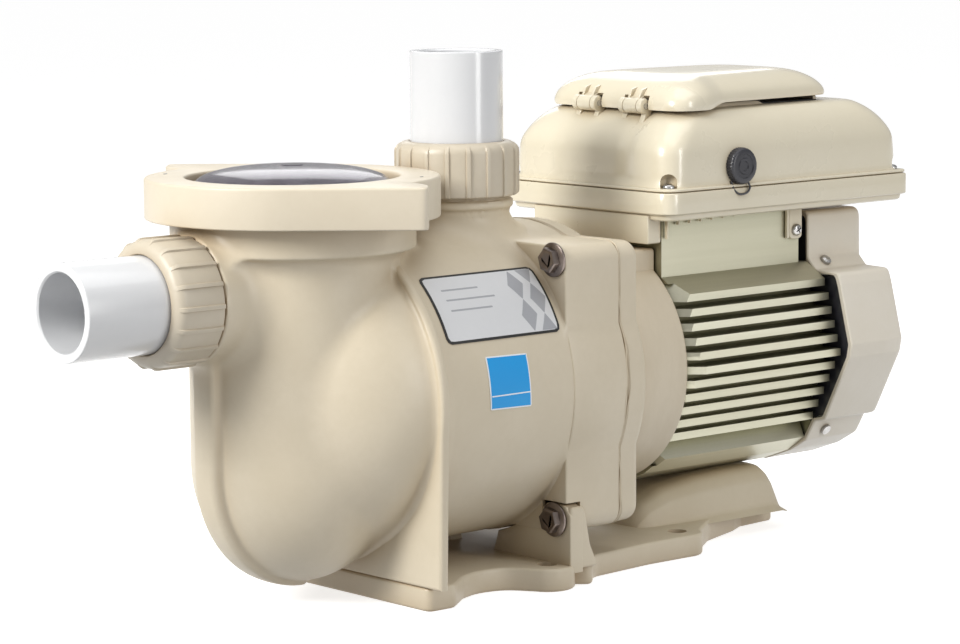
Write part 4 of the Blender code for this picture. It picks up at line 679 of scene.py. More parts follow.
def clamp_ring():
    """A ring with two ears: each leaves the ring along its tangent and turns back in at its rounded end."""
    steps = 720
    low, high = RING_Z

    def reach(turn):
        best = RING_RADIUS
        for ear in EAR_ANGLES:
            away = (turn - ear) % 360
            if away < 54.5:
                across = RING_RADIUS / math.cos(math.radians(away))
                along = EAR_LENGTH / max(math.sin(math.radians(away)), 0.01)
                best = max(best, min(across, along, RING_RADIUS + 0.0042 * (54.5 - away)))
        return best

    outer = np.array([reach(360 * step / steps) for step in range(steps)])
    kernel = np.hanning(11) / np.hanning(11).sum()
    outer = np.convolve(np.concatenate([outer[-10:], outer, outer[:10]]), kernel, "same")[10:-10]
    turns = np.radians(np.arange(steps) * 360 / steps)

    def loop(radius, z):
        wide = np.broadcast_to(np.asarray(radius, float), (steps,))
        return [(POT_X + r * math.cos(a), r * math.sin(a), z) for r, a in zip(wide, turns)]

    skirt = COLLAR_RADIUS + 0.0035
    loops = [loop(skirt, low), loop(RING_RADIUS - 0.0012, low)]
    quarter = np.linspace(0, math.pi / 2, 5)
    loops += [loop(outer - 0.0010 * (1 - math.sin(t)), low + 0.0010 * (1 - math.cos(t))) for t in quarter]
    loops += [loop(outer - 0.0016 * (1 - math.cos(t)), high - 0.0016 * (1 - math.sin(t))) for t in quarter]
    loops.append(loop(RING_OPENING + 0.006, high))
    edge = 0.0018
    loops += [loop(RING_OPENING + edge * (1 - math.sin(t)), high - edge * (1 - math.cos(t))) for t in quarter]
    loops.append(loop(RING_OPENING, high - 0.0055))
    loops.append(loop(skirt, high - 0.0055))
    made = skin("ring_body", loops, *RING, wrap=True, smooth=40)
    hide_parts("clamp_ring")
    # each ear's slot is a thin black plate on the ring's top: painted shade standing in for a cut slot's dark
    # inside
    for number, ear in enumerate(EAR_ANGLES):
        outline = []
        for step in range(40):
            t = 2 * math.pi * step / 40
            a, r = math.radians(ear + 78.7) + 0.032 * math.cos(t), 0.0820 + 0.0011 * math.sin(t)
            outline.append((POT_X + r * math.cos(a), r * math.sin(a)))
        plate(
            f"ring_slot_shade_{number}", outline, "Z", high - 0.002, high + 0.00012,
            BLACK, "ring", "housing_plastic", 0.0001,
        )


def pot_dome():
    low = RING_Z[1] - 0.0055 - 0.0045 - GAP
    top = low + 0.0045
    inner, rise, wall = RING_OPENING - 0.0045, 0.0125, 0.004
    outside = [(low, inner - wall), (low, 0.0755), (top, 0.0755), (top, inner)]
    dome, under = [], []
    for step in range(1, 15):
        turn = math.radians(90 * step / 15)
        dome.append((top + rise * math.sin(turn), inner * math.cos(turn) ** 0.75))
        under.append((top - wall + rise * math.sin(turn), (inner - wall) * math.cos(turn) ** 0.75))
    profile = [(top - wall + rise, 0)] + under[::-1] + outside + dome + [(top + rise, 0)]
    made = lathe("lid_dome", profile, "Z", (POT_X, 0, 0), *LENS, closed=False, smooth=50)
    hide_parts("pot_lid")
    under_mark, over_mark = top + rise - 0.0002, top + rise + 0.0004
    profile = [(under_mark, 0), (under_mark, 0.0072), (over_mark, 0.0066), (over_mark, 0)]
    lathe("lid_gate_mark", profile, "Z", (POT_X, 0, 0), *LENS, closed=False)


def union(prefix, axis, face, sign, across):
    body = {"suction": "suction_union", "discharge": "discharge_union"}[prefix]
    centre = Vector((0, 0, across)) if axis == "X" else Vector((0, 0, 0))
    beats = (
        (-9.0, 0), (-6.0, 0), (-3.2, 0), (-2.3, 0), (-1.7, 1),
        (0.0, 1.08), (1.7, 1), (2.3, 0), (3.2, 0), (6.0, 0),
    )
    loops = []

    def at(depth):
        return face + sign * depth

    def round_point(depth, out, turn):
        return Vector(place(axis, at(depth), out * math.cos(turn), out * math.sin(turn))) + centre

    for depth, drawn, rib in (
        (0.0, 0.0062, 0.0), (0.0005, 0.0042, 0.0), (0.0016, 0.0022, 0.15), (0.0032, 0.0009, 0.6),
        (0.0050, 0.0002, 1.0), (0.0068, 0.0, 1.0), (0.0320, 0.0, 1.0), (0.0340, 0.0004, 1.0),
        (0.0346, 0.0010, 0.6), (NUT_LENGTH, 0.0020, 0.0),
    ):
        loop = []
        for number in range(18):
            for degrees, height in beats:
                turn = math.radians(number * 20 + degrees)
                out = NUT_RADIUS - 0.0004 - drawn + height * rib * 0.0011
                loop.append(round_point(depth, out, turn))
        loops.append(loop)
    for depth, out in ((NUT_LENGTH, 0.0352), (0.0065, 0.0352), (0.0060, 0.0306), (0.0004, 0.0306), (0.0, 0.0312)):
        loop = []
        for number in range(18):
            for degrees, _ in beats:
                turn = math.radians(number * 20 + degrees)
                loop.append(round_point(depth, out, turn))
        loops.append(loop)
    nut = skin(prefix + "_nut_ribbed", loops, NUT_PLASTIC, body, "housing_plastic", wrap=True, smooth=28)
    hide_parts(prefix + "_nut")
    profile = [
        (at(-TAIL_LENGTH), PIPE_BORE + 0.0010, 0.0006), (at(-TAIL_LENGTH), PIPE_RADIUS, 0.0009),
        (at(0.0064), PIPE_RADIUS, 0), (at(0.0064), 0.034, 0.0004), (at(0.0109), 0.034, 0.0004),
        (at(0.0109), 0.022, 0.0004), (at(-0.0016), 0.022, 0.0004), (at(-0.0026), PIPE_BORE, 0.0004),
        (at(-TAIL_LENGTH + 0.0012), PIPE_BORE, 0.0002),
    ]
    tail = lathe(prefix + "_pipe", profile, axis, centre, WHITE, "pump", "white_pvc", steps=128)
    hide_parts(prefix + "_tailpiece")


def hex_bolt(number, y, z):
    seat = FLANGE_X - GAP
    profile = [
        (seat - 0.0020, 0), (seat - 0.0026, 0.0075, 0.001), (seat - 0.0014, 0.0111, 0.0008),
        (seat, 0.0111, 0.0004), (seat, 0),
    ]
    washer = lathe("washer", profile, "X", (0, y, z), BRONZE, None, "", closed=False, steps=64)
    corner = 0.0145 / math.sqrt(3)
    turns = [math.radians(60 * n + 12) for n in range(6)]
    outline = fillet([(y + corner * math.cos(t), z + corner * math.sin(t)) for t in turns], 0.0006, 3)
    loops = []
    for depth, drawn in ((0.0016, 0.0), (0.0060, 0.0), (0.0068, 0.0005), (0.0070, 0.0012), (0.0066, 0.0030)):
        loops.append([(seat - depth, *point) for point in inset(outline, drawn)])
    head = skin("head", loops, BRONZE, None, "")
    shank = rod("X", (0, y, z), 0.0045, seat - 0.001, SEAL_REAR_X - 0.001, 24)
    made = joined(f"hex_bolt_{number}", [washer, head, shank], BRONZE, "pump", "steel")
    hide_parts(f"flange_bolt_{number}")


def patch(name, outline, radius, material):
    """A thin film on the drum's near side. The outline is (place along X, height along the arc)."""
    loops = []
    middle = np.mean(np.array(outline), axis=0)
    rings = [(1.0, radius - 0.0004)] + [(share, radius) for share in (1.0, 0.8, 0.6, 0.4, 0.2, 0.02)]
    for share, out in rings:
        loop = []
        for point in resampled(outline, 96):
            a, b = middle + (np.array(point) - middle) * share
            turn = b / DRUM_RADIUS
            loop.append((a, -out * math.cos(turn), SHAFT_Z + out * math.sin(turn)))
        loops.append(loop)
    return skin(name, loops, material, "pump", "housing_plastic", smooth=40)


def labels():
    low_b, high_b = math.radians(23.0) * DRUM_RADIUS, math.radians(51.0) * DRUM_RADIUS
    low_a, high_a = -0.088, 0.006
    patch("nameplate_edge", rounded_rectangle(low_a, high_a, low_b, high_b, 0.004), BORDER_FILM, LABEL_BLACK)
    inner = (low_a + 0.0017, high_a - 0.0017, low_b + 0.0017, high_b - 0.0017)
    patch("nameplate_face", rounded_rectangle(*inner, 0.0028), FACE_FILM, LABEL_SILVER)
    left, right = inner[1] - 0.026, inner[1] - 0.0006
    bottom, top = inner[2] + 0.0004, inner[3] - 0.0004
    rows, columns = 4, 2
    tall, wide = (top - bottom) / rows, (right - left) / columns
    for row in range(rows):
        for column in range(columns):
            a, b = left + column * wide, bottom + row * tall
            if (row + column) % 2:
                corners = [(a, b), (a + wide, b), (a + wide / 2, b + tall)]
            else:
                corners = [(a, b + tall), (a + wide / 2, b), (a + wide, b + tall)]
            patch(f"nameplate_facet_{row}_{column}", fillet(corners, 0.0001, 1), PRINT_FILM, LABEL_GREY)
    for row, length in enumerate((0.030, 0.040, 0.034)):
        a, b = inner[0] + 0.010, top - 0.010 - row * 0.0075
        bar = rounded_rectangle(a, a + length, b - 0.0006, b + 0.0006, 0.0003, 3)
        patch(f"nameplate_bar_{row}", bar, PRINT_FILM, LABEL_GREY)
    low_b, high_b = math.radians(-2.4) * DRUM_RADIUS, math.radians(17.2) * DRUM_RADIUS
    corners = [(-0.0605, low_b + 0.0008), (-0.0265, low_b), (-0.0270, high_b - 0.0008), (-0.0610, high_b)]
    patch("sticker_edge", fillet(corners, 0.0004, 2), BORDER_FILM, STICKER_WHITE)
    patch("sticker_face", inset(fillet(corners, 0.0004, 2), 0.0009), FACE_FILM, STICKER_BLUE)
    line = rounded_rectangle(-0.0595, -0.0275, low_b + 0.0088, low_b + 0.0096, 0.0002, 2)
    patch("sticker_line", line, PRINT_FILM, STICKER_WHITE)


# ---- speed drive --------------------------------------------------------------------------------------------
def spline_levels(levels, count):
    """Evenly spread levels on a smooth curve through the given ones."""
    table = np.array(levels, float)
    steps = np.concatenate([[0], np.cumsum(np.linalg.norm(np.diff(table[:, :2], axis=0), axis=1))])
    at = np.linspace(0, steps[-1], count)
    slope = np.gradient(table, steps, axis=0)
    spots = np.clip(np.searchsorted(steps, at, "right") - 1, 0, len(steps) - 2)
    run = (steps[spots + 1] - steps[spots])[:, None]
    t = ((at - steps[spots])[:, None]) / run
    one, two, out, into = table[spots], table[spots + 1], slope[spots] * run, slope[spots + 1] * run
    ends = (2 * t**3 - 3 * t**2 + 1) * one + (-2 * t**3 + 3 * t**2) * two
    return ends + (t**3 - 2 * t**2 + t) * out + (t**3 - t**2) * into


def box_loop(limits_x, limits_y, z, end, side, corner, count=256, rear=None):
    (low, high), (near, far) = limits_x, limits_y
    rear = corner if rear is None else rear
    corners = [(low + end, near + side, corner), (high - end, near + side, rear)]
    corners += [(high - end, far - side, rear), (low + end, far - side, corner)]
    return [(x, y, z) for x, y in resampled(fillet(corners, 0, 12), count)]


def drive_tray():
    low, high = TRAY_Z
    loops = []
    for z, drawn, corner in (
        (low, 0.0055, 0.009), (low + 0.0002, 0.0045, 0.010), (low + 0.0010, 0.0034, 0.0105),
        (low + 0.0024, 0.0030, 0.011), (low + 0.0040, 0.0028, 0.011), (low + 0.0044, 0.0008, 0.012),
        (low + 0.0052, 0.0, 0.0125), (low + 0.010, 0.0, 0.0125),
        (high - 0.0008, 0.0, 0.0125), (high - 0.0002, 0.0003, 0.0125), (high, 0.0010, 0.012),
        (high, 0.0040, 0.009), (low + 0.005, 0.0045, 0.009), (low + 0.004, 0.0050, 0.009),
    ):
        loops.append(box_loop(TRAY_X, TRAY_Y, z, drawn, drawn, corner, rear=corner - 0.0075 + drawn * 0.3))
    tray = skin("tray_body", loops, *DRIVE)
    boolean(tray, [rod("Z", ((TRAY_X[0] + TRAY_X[1]) / 2, 0, 0), 0.03, low - 0.01, low + 0.01)])
    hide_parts("drive_tray")
    skirt = [(0.0558, 0.2098, 0.002), (0.0558, 0.2290), (-0.0558, 0.2290), (-0.0558, 0.2098, 0.002)]
    plate("tray_skirt", fillet(skirt, 0, 5), "X", TRAY_X[0] + 0.001, BELL_REAR_X, *DRIVE, 0.0009)
    for side in (-1, 1):
        near, far = sorted((side * 0.0566, side * 0.0592))
        for number in range(7):
            x = TRAY_X[0] + 0.0155 + 0.0105 * number
            deep = 0.0135 if number == 0 else 0.0052 - 0.0004 * number
            tooth = [(x, 0.2262), (x + 0.0012, 0.2262), (x + 0.0012, 0.2262 - deep), (x, 0.2262 - deep)]
            plate(f"tray_tooth_{number}_{side + 1}", fillet(tooth, 0.0003, 2), "Y", near, far, *DRIVE, 0.0003)
        near, far = sorted((side * 0.0562, side * 0.0586))
        tab = [(0.2503, 0.2285), (0.2627, 0.2285), (0.2627, 0.2037, 0.0040), (0.2503, 0.2037, 0.0040)]
        plate(f"tray_tab_{side + 1}", fillet(tab, 0, 6), "Y", near, far, *DRIVE, 0.0007)
        web = [(0.2478, 0.2290), (0.2503, 0.2290), (0.2503, 0.2045, 0.001), (0.2478, 0.2045, 0.001)]
        plate(f"tray_tab_web_{side + 1}", fillet(web, 0, 3), "Y", near, far, *DRIVE, 0.0005)


COVER_LEVELS = (
    (0.2449, 0.0030, 0.0030, 0.0175), (0.2620, 0.0034, 0.0033, 0.0175), (0.2725, 0.0045, 0.0042, 0.0180),
    (0.2810, 0.0090, 0.0068, 0.0200), (0.2870, 0.0145, 0.0098, 0.0210), (0.2925, 0.0220, 0.0142, 0.0210),
    (0.2958, 0.0290, 0.0190, 0.0200), (0.2967, 0.0350, 0.0230, 0.0190),
)
STEP_X = (0.165, 0.190)
RIM_X = (0.1660, 0.3000)
RIM_Y = (-0.0545, 0.0585)


def narrowed(loop, lift=0.0):
    """Draws the lid, or the rim under it, in behind the step near the hinge, and lifts it there."""
    middle, points = (LID_Y[0] + LID_Y[1]) / 2, []
    for x, y, z in loop:
        step = np.clip((x - STEP_X[0]) / (STEP_X[1] - STEP_X[0]), 0, 1)
        step = step * step * (3 - 2 * step)
        share = 1 - 0.09 * step - 0.13 * max(x - STEP_X[1], 0) / (LID_X[1] - STEP_X[1])
        points.append((x, middle + (y - middle) * share, z + lift * step))
    return points


def drive_cover():
    loops = []
    foot = TRAY_Z[1] + GAP
    for rise, drawn in ((0.0, 0.0030), (0.0, 0.0014), (0.0006, 0.0006), (0.0016, 0.0006), (0.0022, 0.0012)):
        loops.append(box_loop(TRAY_X, TRAY_Y, foot + rise, drawn, drawn, 0.0125, rear=0.005))
    loops.append(box_loop(TRAY_X, TRAY_Y, foot + 0.0024, 0.0026, 0.0026, 0.016, rear=0.013))
    for z, end, side, corner in spline_levels(COVER_LEVELS, 34):
        if z < foot + 0.0032:
            continue
        loop = []
        for x, y, height in box_loop(TRAY_X, TRAY_Y, z, end, side, corner):
            front = np.clip((0.165 - x) / 0.02, 0, 1) * np.clip((z - 0.2485) / 0.004, 0, 1)
            dent = 0.0026 * math.exp(-(((y + 0.030) / 0.0064) ** 2))
            step = 0.0011 / (1 + math.exp((y - 0.034) / 0.0009))
            loop.append((x + front * (dent + step), y, height))
        loops.append(loop)
    flat = DRIVE_TOP_Z
    loops.append(box_loop(TRAY_X, TRAY_Y, flat, 0.0400, 0.0245, 0.018))
    for z, drawn in ((flat, 0.0), (flat + 0.0022, 0.0004), (flat + 0.0028, 0.0012)):
        loops.append(narrowed(box_loop(RIM_X, RIM_Y, z, drawn, drawn, 0.014)))
    cover = skin("cover_shell", loops, *DRIVE, smooth=40)
    inside = [(z, end + 0.003, side + 0.003, 0.030) for z, end, side, corner in COVER_LEVELS[:-2]]
    inside = [(0.20, 0.008, 0.008, 0.030)] + inside
    room_x = (TRAY_X[0] + 0.0032, TRAY_X[1])
    room = [box_loop(room_x, TRAY_Y, z - 0.002, end, side, corner, 96) for z, end, side, corner in inside]
    well = block((0.176, -0.0464, DRIVE_TOP_Z - 0.008), (0.290, 0.0464, DRIVE_TOP_Z + 0.01))
    tools = [skin("room", room, *TOOL), well]
    for number in range(1, 5):
        low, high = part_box(f"drive_screw_{number}")
        x, y = (low[0] + high[0]) / 2, (low[1] + high[1]) / 2
        wide, roof = 0.0056, foot + 0.0068
        niche = [(foot + 0.0024, 0), (foot + 0.0024, wide), (roof, wide)]
        niche += [(roof + 0.0050 * math.sin(t), wide * math.cos(t)) for t in np.linspace(0.2, 1.57, 7)]
        tools.append(lathe("niche", niche, "Z", (x, y, 0), *TOOL, steps=32, closed=False))
    boolean(cover, tools)
    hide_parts("drive_cover")
    near, far = PORT_FACE_Y + 0.0045, TRAY_Y[0] + 0.014
    stub = [(near, 0.0064), (near, 0.0088), (far, 0.0088), (far, 0.0064)]
    lathe("port_stub", stub, "Y", (PORT_X, 0, PORT_Z), *DRIVE, 0.0004, 48)
    for number, y in enumerate(HINGE_Y):
        for end in (-1, 1):
            middle = y + end * 0.0088
            hinge_arm(f"cover_lug_{number}_{end + 1}", middle - 0.0022, middle + 0.0022, -1, "pump")


def hinge_arm(name, low, high, side, body):
    outline = arc((HINGE_X, HINGE_Z), 0.0052, 90, 270, 12)
    if side < 0:
        outline += [(HINGE_X - 0.0030, HINGE_Z - 0.0125), (HINGE_X + 0.0045, HINGE_Z - 0.0075)]
        outline += [(HINGE_X + 0.0060, HINGE_Z - 0.0030), (HINGE_X + 0.0050, HINGE_Z + 0.0022)]
    else:
        outline += [(HINGE_X + 0.004, HINGE_Z - 0.0037), (HINGE_X + 0.0095, HINGE_Z + 0.0015)]
        outline += [(HINGE_X + 0.0125, HINGE_Z + 0.0095), (HINGE_X + 0.004, HINGE_Z + 0.0070)]
    return plate(name, fillet(outline, 0.0005, 2), "Y", low, high, CREAM, body, "painted_metal", 0.0005)


def drive_lid():
    low = DRIVE_TOP_Z - 0.0004
    levels = (
        (low, 0.0, 0.0, 0.018), (0.3010, 0.0003, 0.0003, 0.018), (0.3060, 0.0022, 0.0016, 0.019),
        (0.3110, 0.0060, 0.0056, 0.020), (0.3150, 0.0112, 0.0113, 0.022), (0.3178, 0.0182, 0.0183, 0.023),
        (0.3192, 0.0262, 0.0263, 0.022), (0.3198, 0.0342, 0.0338, 0.019),
    )
    edge = [(low, 0.0026, 0.0026, 0.016), (low, 0.0006, 0.0006, 0.018)]
    loops = [box_loop(LID_X, LID_Y, *level) for level in edge + list(spline_levels(levels, 24)[1:])]
    tall = levels[-1][0] - low
    loops = [narrowed(loop, 0.0040 * (1 - (loop[0][2] - low) / tall) ** 2) for loop in loops]
    lid = skin("lid_shell", loops, *FLAP, smooth=40)
    inside = ((low - 0.01, 0.003, 0.016), (0.304, 0.004, 0.016), (0.311, 0.010, 0.018), (0.3165, 0.031, 0.018))
    room = [narrowed(box_loop(LID_X, LID_Y, z, drawn, drawn, corner, 96)) for z, drawn, corner in inside]
    tools = [skin("room", room, *TOOL)]
    for middle in (y + end * 0.0088 for y in HINGE_Y for end in (-1, 1)):
        tools.append(rod("Y", (HINGE_X, 0, HINGE_Z), 0.0074, middle - 0.0030, middle + 0.0030))
    boolean(lid, tools)
    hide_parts("drive_lid")
    for number, y in enumerate(HINGE_Y):
        hinge_arm(f"lid_knuckle_{number}", y - 0.0062, y + 0.0062, 1, "drive_flap")
        for end in (-1, 1):
            corners = ((-0.0012, 0.0040), (0.0095, 0.0050), (0.0098, 0.0128), (0.0020, 0.0105))
            outline = fillet([(HINGE_X + a, HINGE_Z + b) for a, b in corners], 0.0006, 2)
            middle, half = y + end * 0.0048, 0.0009
            plate(f"lid_gusset_{number}_{end + 1}", outline, "Y", middle - half, middle + half, *FLAP, 0.0003)


def port_cap():
    loops = []
    for deep, out, wave in (
        (0.0006, 0.0004, 0), (0.0006, 0.0030, 0), (0, 0.0034, 0), (0, 0.0052, 0), (0.0006, 0.0056, 0),
        (0.0006, 0.0078, 0), (0, 0.0082, 0), (0, 0.0100, 0), (0.0004, 0.0112, 0), (0.0014, 0.0119, 0.6),
        (0.0026, 0.0121, 1), (0.0070, 0.0121, 1), (0.0076, 0.0117, 0.6), (0.0076, 0.0092, 0),
        (0.0034, 0.0092, 0), (0.0034, 0.0004, 0),
    ):
        loop = []
        for step in range(144):
            turn = 2 * math.pi * step / 144
            r = out + wave * 0.00025 * math.cos(36 * turn)
            loop.append((PORT_X + r * math.cos(turn), PORT_FACE_Y + deep, PORT_Z + r * math.sin(turn)))
        loops.append(loop)
    cap = skin("cap_body", loops, BLACK, "cable_port_cap", "black_plastic", smooth=35)
    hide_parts("port_cap")
    curve = bpy.data.curves.new("cap_strap", "CURVE")
    curve.dimensions, curve.bevel_depth, curve.bevel_resolution, curve.resolution_u = "3D", 0.0007, 4, 12
    strap = curve.splines.new("BEZIER")
    points = (
        (-0.0085, 0.0050, -0.0098), (-0.0065, 0.0030, -0.0165), (0.0000, 0.0015, -0.0186),
        (0.0055, 0.0012, -0.0150), (0.0045, 0.0020, -0.0105),
    )
    strap.bezier_points.add(len(points) - 1)
    for bezier, (x, y, z) in zip(strap.bezier_points, points):
        bezier.co = (PORT_X + x, PORT_FACE_Y + y, PORT_Z + z)
        bezier.handle_left_type = bezier.handle_right_type = "AUTO"
    made = linked("cap_strap", curve)
    curve.materials.append(BLACK)
    PIECES.append((made, "pump", "black_rubber"))


# ---- motor --------------------------------------------------------------------------------------------------
def motor_bell():
    profile = [
        (0.0762, 0.0300), (0.0762, 0.0815, 0.0004),
        (0.0790, BELL_RADIUS, 0.0004), (0.1280, BELL_RADIUS, 0.0010),
        (BELL_REAR_X, BELL_RADIUS - 0.0012, 0.0006), (BELL_REAR_X, 0.0700), (0.0900, 0.0700), (0.0900, 0.0300),
    ]
    lathe("bell_shell", profile, "X", (0, 0, SHAFT_Z), *BELL, steps=144)
    shelf = [(0.05, 0.180), (0.05, 0.2062, 0.003), (-0.05, 0.2062, 0.003), (-0.05, 0.180)]
    shelf = plate("bell_shelf", fillet(shelf, 0, 4), "X", 0.0862, BELL_REAR_X - 0.0004, *BELL, 0.0012)
    boolean(shelf, [rod("X", (0, 0, SHAFT_Z), 0.0790, 0.05, 0.14, 96)])


def cover_outline(drawn, corner=0.0045):
    side = [
        (0.0560, 0.2215), (0.0566, 0.189), (0.0640, 0.1815), (0.0846, 0.181), (0.0875, 0.173), (0.0980, 0.1326),
        (0.0963, 0.1234), (0.0735, 0.078), (0.0640, 0.076), (0.0558, 0.0617), (0.0406, 0.0528), (0.0165, 0.044),
    ]
    outline = side + [(-y, z) for y, z in reversed(side)]
    outline = fillet(outline[::-1], corner, 5)
    return inset(outline, drawn)


def fan_cover():
    low, high = 0.271, 0.327
    loops = [[(low, *p) for p in cover_outline(0.0029)], [(low, *p) for p in cover_outline(0.0008)]]
    loops += [[(low + 0.0007, *p) for p in cover_outline(0.0)]]
    for turn in np.linspace(0, math.pi / 2, 8):
        x, drawn = high - 0.008 + 0.008 * math.sin(turn), 0.008 * (1 - math.cos(turn))
        loops.append([(x, *p) for p in squeezed(drawn)])
    cover = skin("cover_body", loops, COVER_PAINT, "pump", "painted_metal", smooth=38)
    inner = ((low - 0.01, 0.003), (high - 0.012, 0.003), (high - 0.003, 0.009))
    tools = [skin("room", [[(x, *p) for p in squeezed(drawn)] for x, drawn in inner], *TOOL)]
    for number in range(7):
        level = SHAFT_Z + (number - 3) * 0.013
        half = math.sqrt(0.055**2 - (level - SHAFT_Z) ** 2)
        outline = rounded_rectangle(-half, half, level - 0.003, level + 0.003, 0.0028, 6)
        tools.append(plate("slot", outline, "X", high - 0.008, high + 0.01, *TOOL, 0.0))
    boolean(cover, tools)
    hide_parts("fan_cover")
    # painted shadow: a black sheet across the cover's mouth, just behind the fin ends, stands for the shaded
    # inside of the cover
    dark = (BLACK, "pump", "painted_metal")
    shadow_sheet = plate("cover_shadow_sheet", cover_outline(0.0034), "X", low + 0.0035, low + 0.0045, *dark, 0.0002)
    boolean(shadow_sheet, [rod("X", (0, 0, SHAFT_Z), 0.0678, low, low + 0.02, 96)])


def squeezed(drawn):
    """The fan cover's outline drawn in towards the shaft, so that its concave corners never cross."""
    points = []
    for y, z in cover_outline(0.0):
        away = Vector((y, z - SHAFT_Z)) * (1 - drawn / 0.088)
        points.append((away.x, SHAFT_Z + away.y))
    return points


def pan_head(name, seat, way, body, radius=0.0041, node_name=None):
    """A pan-head screw with a cross recess, seated at a point and facing along way."""
    rise = 0.0028
    profile = [(-0.004, 0), (-0.004, 0.0019), (0.0002, 0.0019), (0.0002, radius), (0.0009, radius)]
    for t in np.linspace(0.2, 1.45, 6):
        profile.append((0.0009 + (rise - 0.0009) * math.sin(t), radius * (0.35 + 0.65 * math.cos(t))))
    profile += [(rise + 0.0001, 0)]
    head = lathe(name, profile, "Z", (0, 0, 0), STEEL, None, "", closed=False, steps=32)
    tools = []
    for turn in (0.5, 0.5 + math.pi / 2):
        tool = block((-0.0024, -0.00045, 0.0014), (0.0024, 0.00045, 0.006))
        tool.data.transform(Matrix.Rotation(turn, 4, "Z"))
        tools.append(tool)
    boolean(head, tools)
    turn = Vector((0, 0, 1)).rotation_difference(Vector(way)).to_matrix().to_4x4()
    head.data.transform(Matrix.Translation(seat) @ turn)
    dressed(head, STEEL, body, "steel")
    if node_name:
        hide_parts(node_name)
    return head


def screws():
    for number in range(1, 5):
        low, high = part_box(f"drive_screw_{number}")
        seat = ((low[0] + high[0]) / 2, (low[1] + high[1]) / 2, TRAY_Z[1] + GAP + 0.0024)
        pan_head(f"drive_pan_{number}", seat, (0, 0, 1), "pump", node_name=f"drive_screw_{number}")
    for number in (1, 2):
        low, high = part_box(f"bracket_screw_{number}")
        side = 1 if (low[1] + high[1]) > 0 else -1
        seat = ((low[0] + high[0]) / 2, side * 0.0587, (low[2] + high[2]) / 2)
        pan_head(f"bracket_pan_{number}", seat, (0, side, 0), "pump", node_name=f"bracket_screw_{number}")


# ---- foot ---------------------------------------------------------------------------------------------------
def foot():
    right = [(-0.1015, 0.0880, 0.006), (-0.0800, 0.0880, 0.010), (-0.0600, 0.0730, 0.012)]
    right += [(-0.0430, 0.0665, 0.03), (-0.0230, 0.0700, 0.02)]
    right += [(*p, 0.0) for p in arc((0.0045, 0.0805), 0.0178, 160, 22, 10)]
    right += [(0.0300, 0.0955, 0.006), (0.0400, 0.0850, 0.008), (0.0480, 0.0800, 0.02), (0.1010, 0.0755, 0.03)]
    right += [(*p, 0.0) for p in arc((0.142, 0.0600), 0.0165, 100, 20, 8)]
    right += [(0.1850, 0.0460, 0.03), (0.2240, 0.0325, 0.01), (0.2390, 0.0245, 0.003), (0.2735, 0.0215, 0.004)]
    outline = fillet(right + [(x, -y, r) for x, y, r in reversed(right)], 0.002, 6)
    base = plate("foot_base", outline, "Z", 0.0, FOOT_HEIGHT, *MOULDED, 0.0022)
    holes = [(x, side * y) for x, y in ((0.0045, 0.0805), (0.142, 0.0590)) for side in (-1, 1)]
    boolean(base, [rod("Z", (x, y, 0), 0.0066, -0.01, 0.03) for x, y in holes])
    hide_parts("foot")
    wall = [(0.0960, 0.010), (0.0960, 0.0470, 0.004), (0.0905, 0.0535, 0.004), (0.0735, 0.0535, 0.004)]
    wall.append((0.0712, 0.0500, 0.001))
    for turn in range(48, 76, 3):
        turn = math.radians(turn)
        wall.append((0.1018 * math.cos(turn), SHAFT_Z - 0.1018 * math.sin(turn)))
    wall.append((0.020, 0.010))
    cheek = [(FLANGE_X + 0.0010, 0.012), (FLANGE_X + 0.0010, 0.0525, 0.004), (FLANGE_X + 0.0125, 0.0525, 0.004)]
    cheek += [(0.0250, 0.0440, 0.01), (0.0285, 0.0270, 0.012), (0.0340, 0.0150, 0.004), (0.0340, 0.012)]
    for side in (-1, 1):
        outline = fillet([(side * y, *rest) for y, *rest in wall], 0.0, 6)
        near, far = FLANGE_X + GAP, FLANGE_X + 0.0116
        bracket = plate(f"foot_bracket_{side + 1}", outline, "X", near, far, *MOULDED, 0.0010)
        boolean(bracket, [rod("X", (0, side * BOLT_Y, SHAFT_Z - BOLT_Z), 0.005, -0.02, 0.05)])
        near, far = sorted((side * 0.0900, side * 0.0958))
        plate(f"foot_cheek_{side + 1}", fillet(cheek, 0.0, 8), "Y", near, far, *MOULDED, 0.0020)
    half = [(0.0480, 0.0130), (0.0400, 0.0165, 0.006), (0.0345, 0.0330, 0.010), (0.0270, 0.0430, 0.012)]
    half.append((0.0160, 0.0440, 0.01))
    section = fillet(half + [(-y, *rest) for y, *rest in reversed(half)], 0.0, 6)
    loops = []
    for x, scale in (
        (0.128, 0.02), (0.132, 0.3), (0.142, 0.60), (0.160, 0.84), (0.190, 0.96), (0.225, 1.0), (0.247, 1.0),
        (0.2545, 0.965), (0.2590, 0.86), (0.2625, 0.62), (0.2640, 0.3),
    ):
        loops.append([(x, y * (0.90 + 0.10 * scale), 0.010 + (z - 0.010) * scale) for y, z in section])
    skin("foot_cradle", loops, *MOULDED, smooth=50)


# ---- carried-over nodes, stage, camera and light ---------------------------------------------------------
def dress_nodes():
    for material, names in CAD_FINISHES.items():
        for name in names:
            mesh = NODES[name].data
            mesh.materials.clear()
            mesh.materials.append(material)
    missing = [name for name in NODES if not any(name in names for names in CAD_FINISHES.values())]
    if missing:
        raise RuntimeError(f"nodes with no finish: {missing}")
    widths = {"motor_frame": 0.0004, "rear_bell": 0.0006, "strainer_basket": 0.0004, "keypad_panel": 0.0004}
    for name, width in widths.items():
        soft = NODES[name].modifiers.new("edge", "BEVEL")
        soft.width, soft.segments, soft.limit_method, soft.angle_limit = width, 2, "ANGLE", math.radians(40)
        soft.harden_normals = True


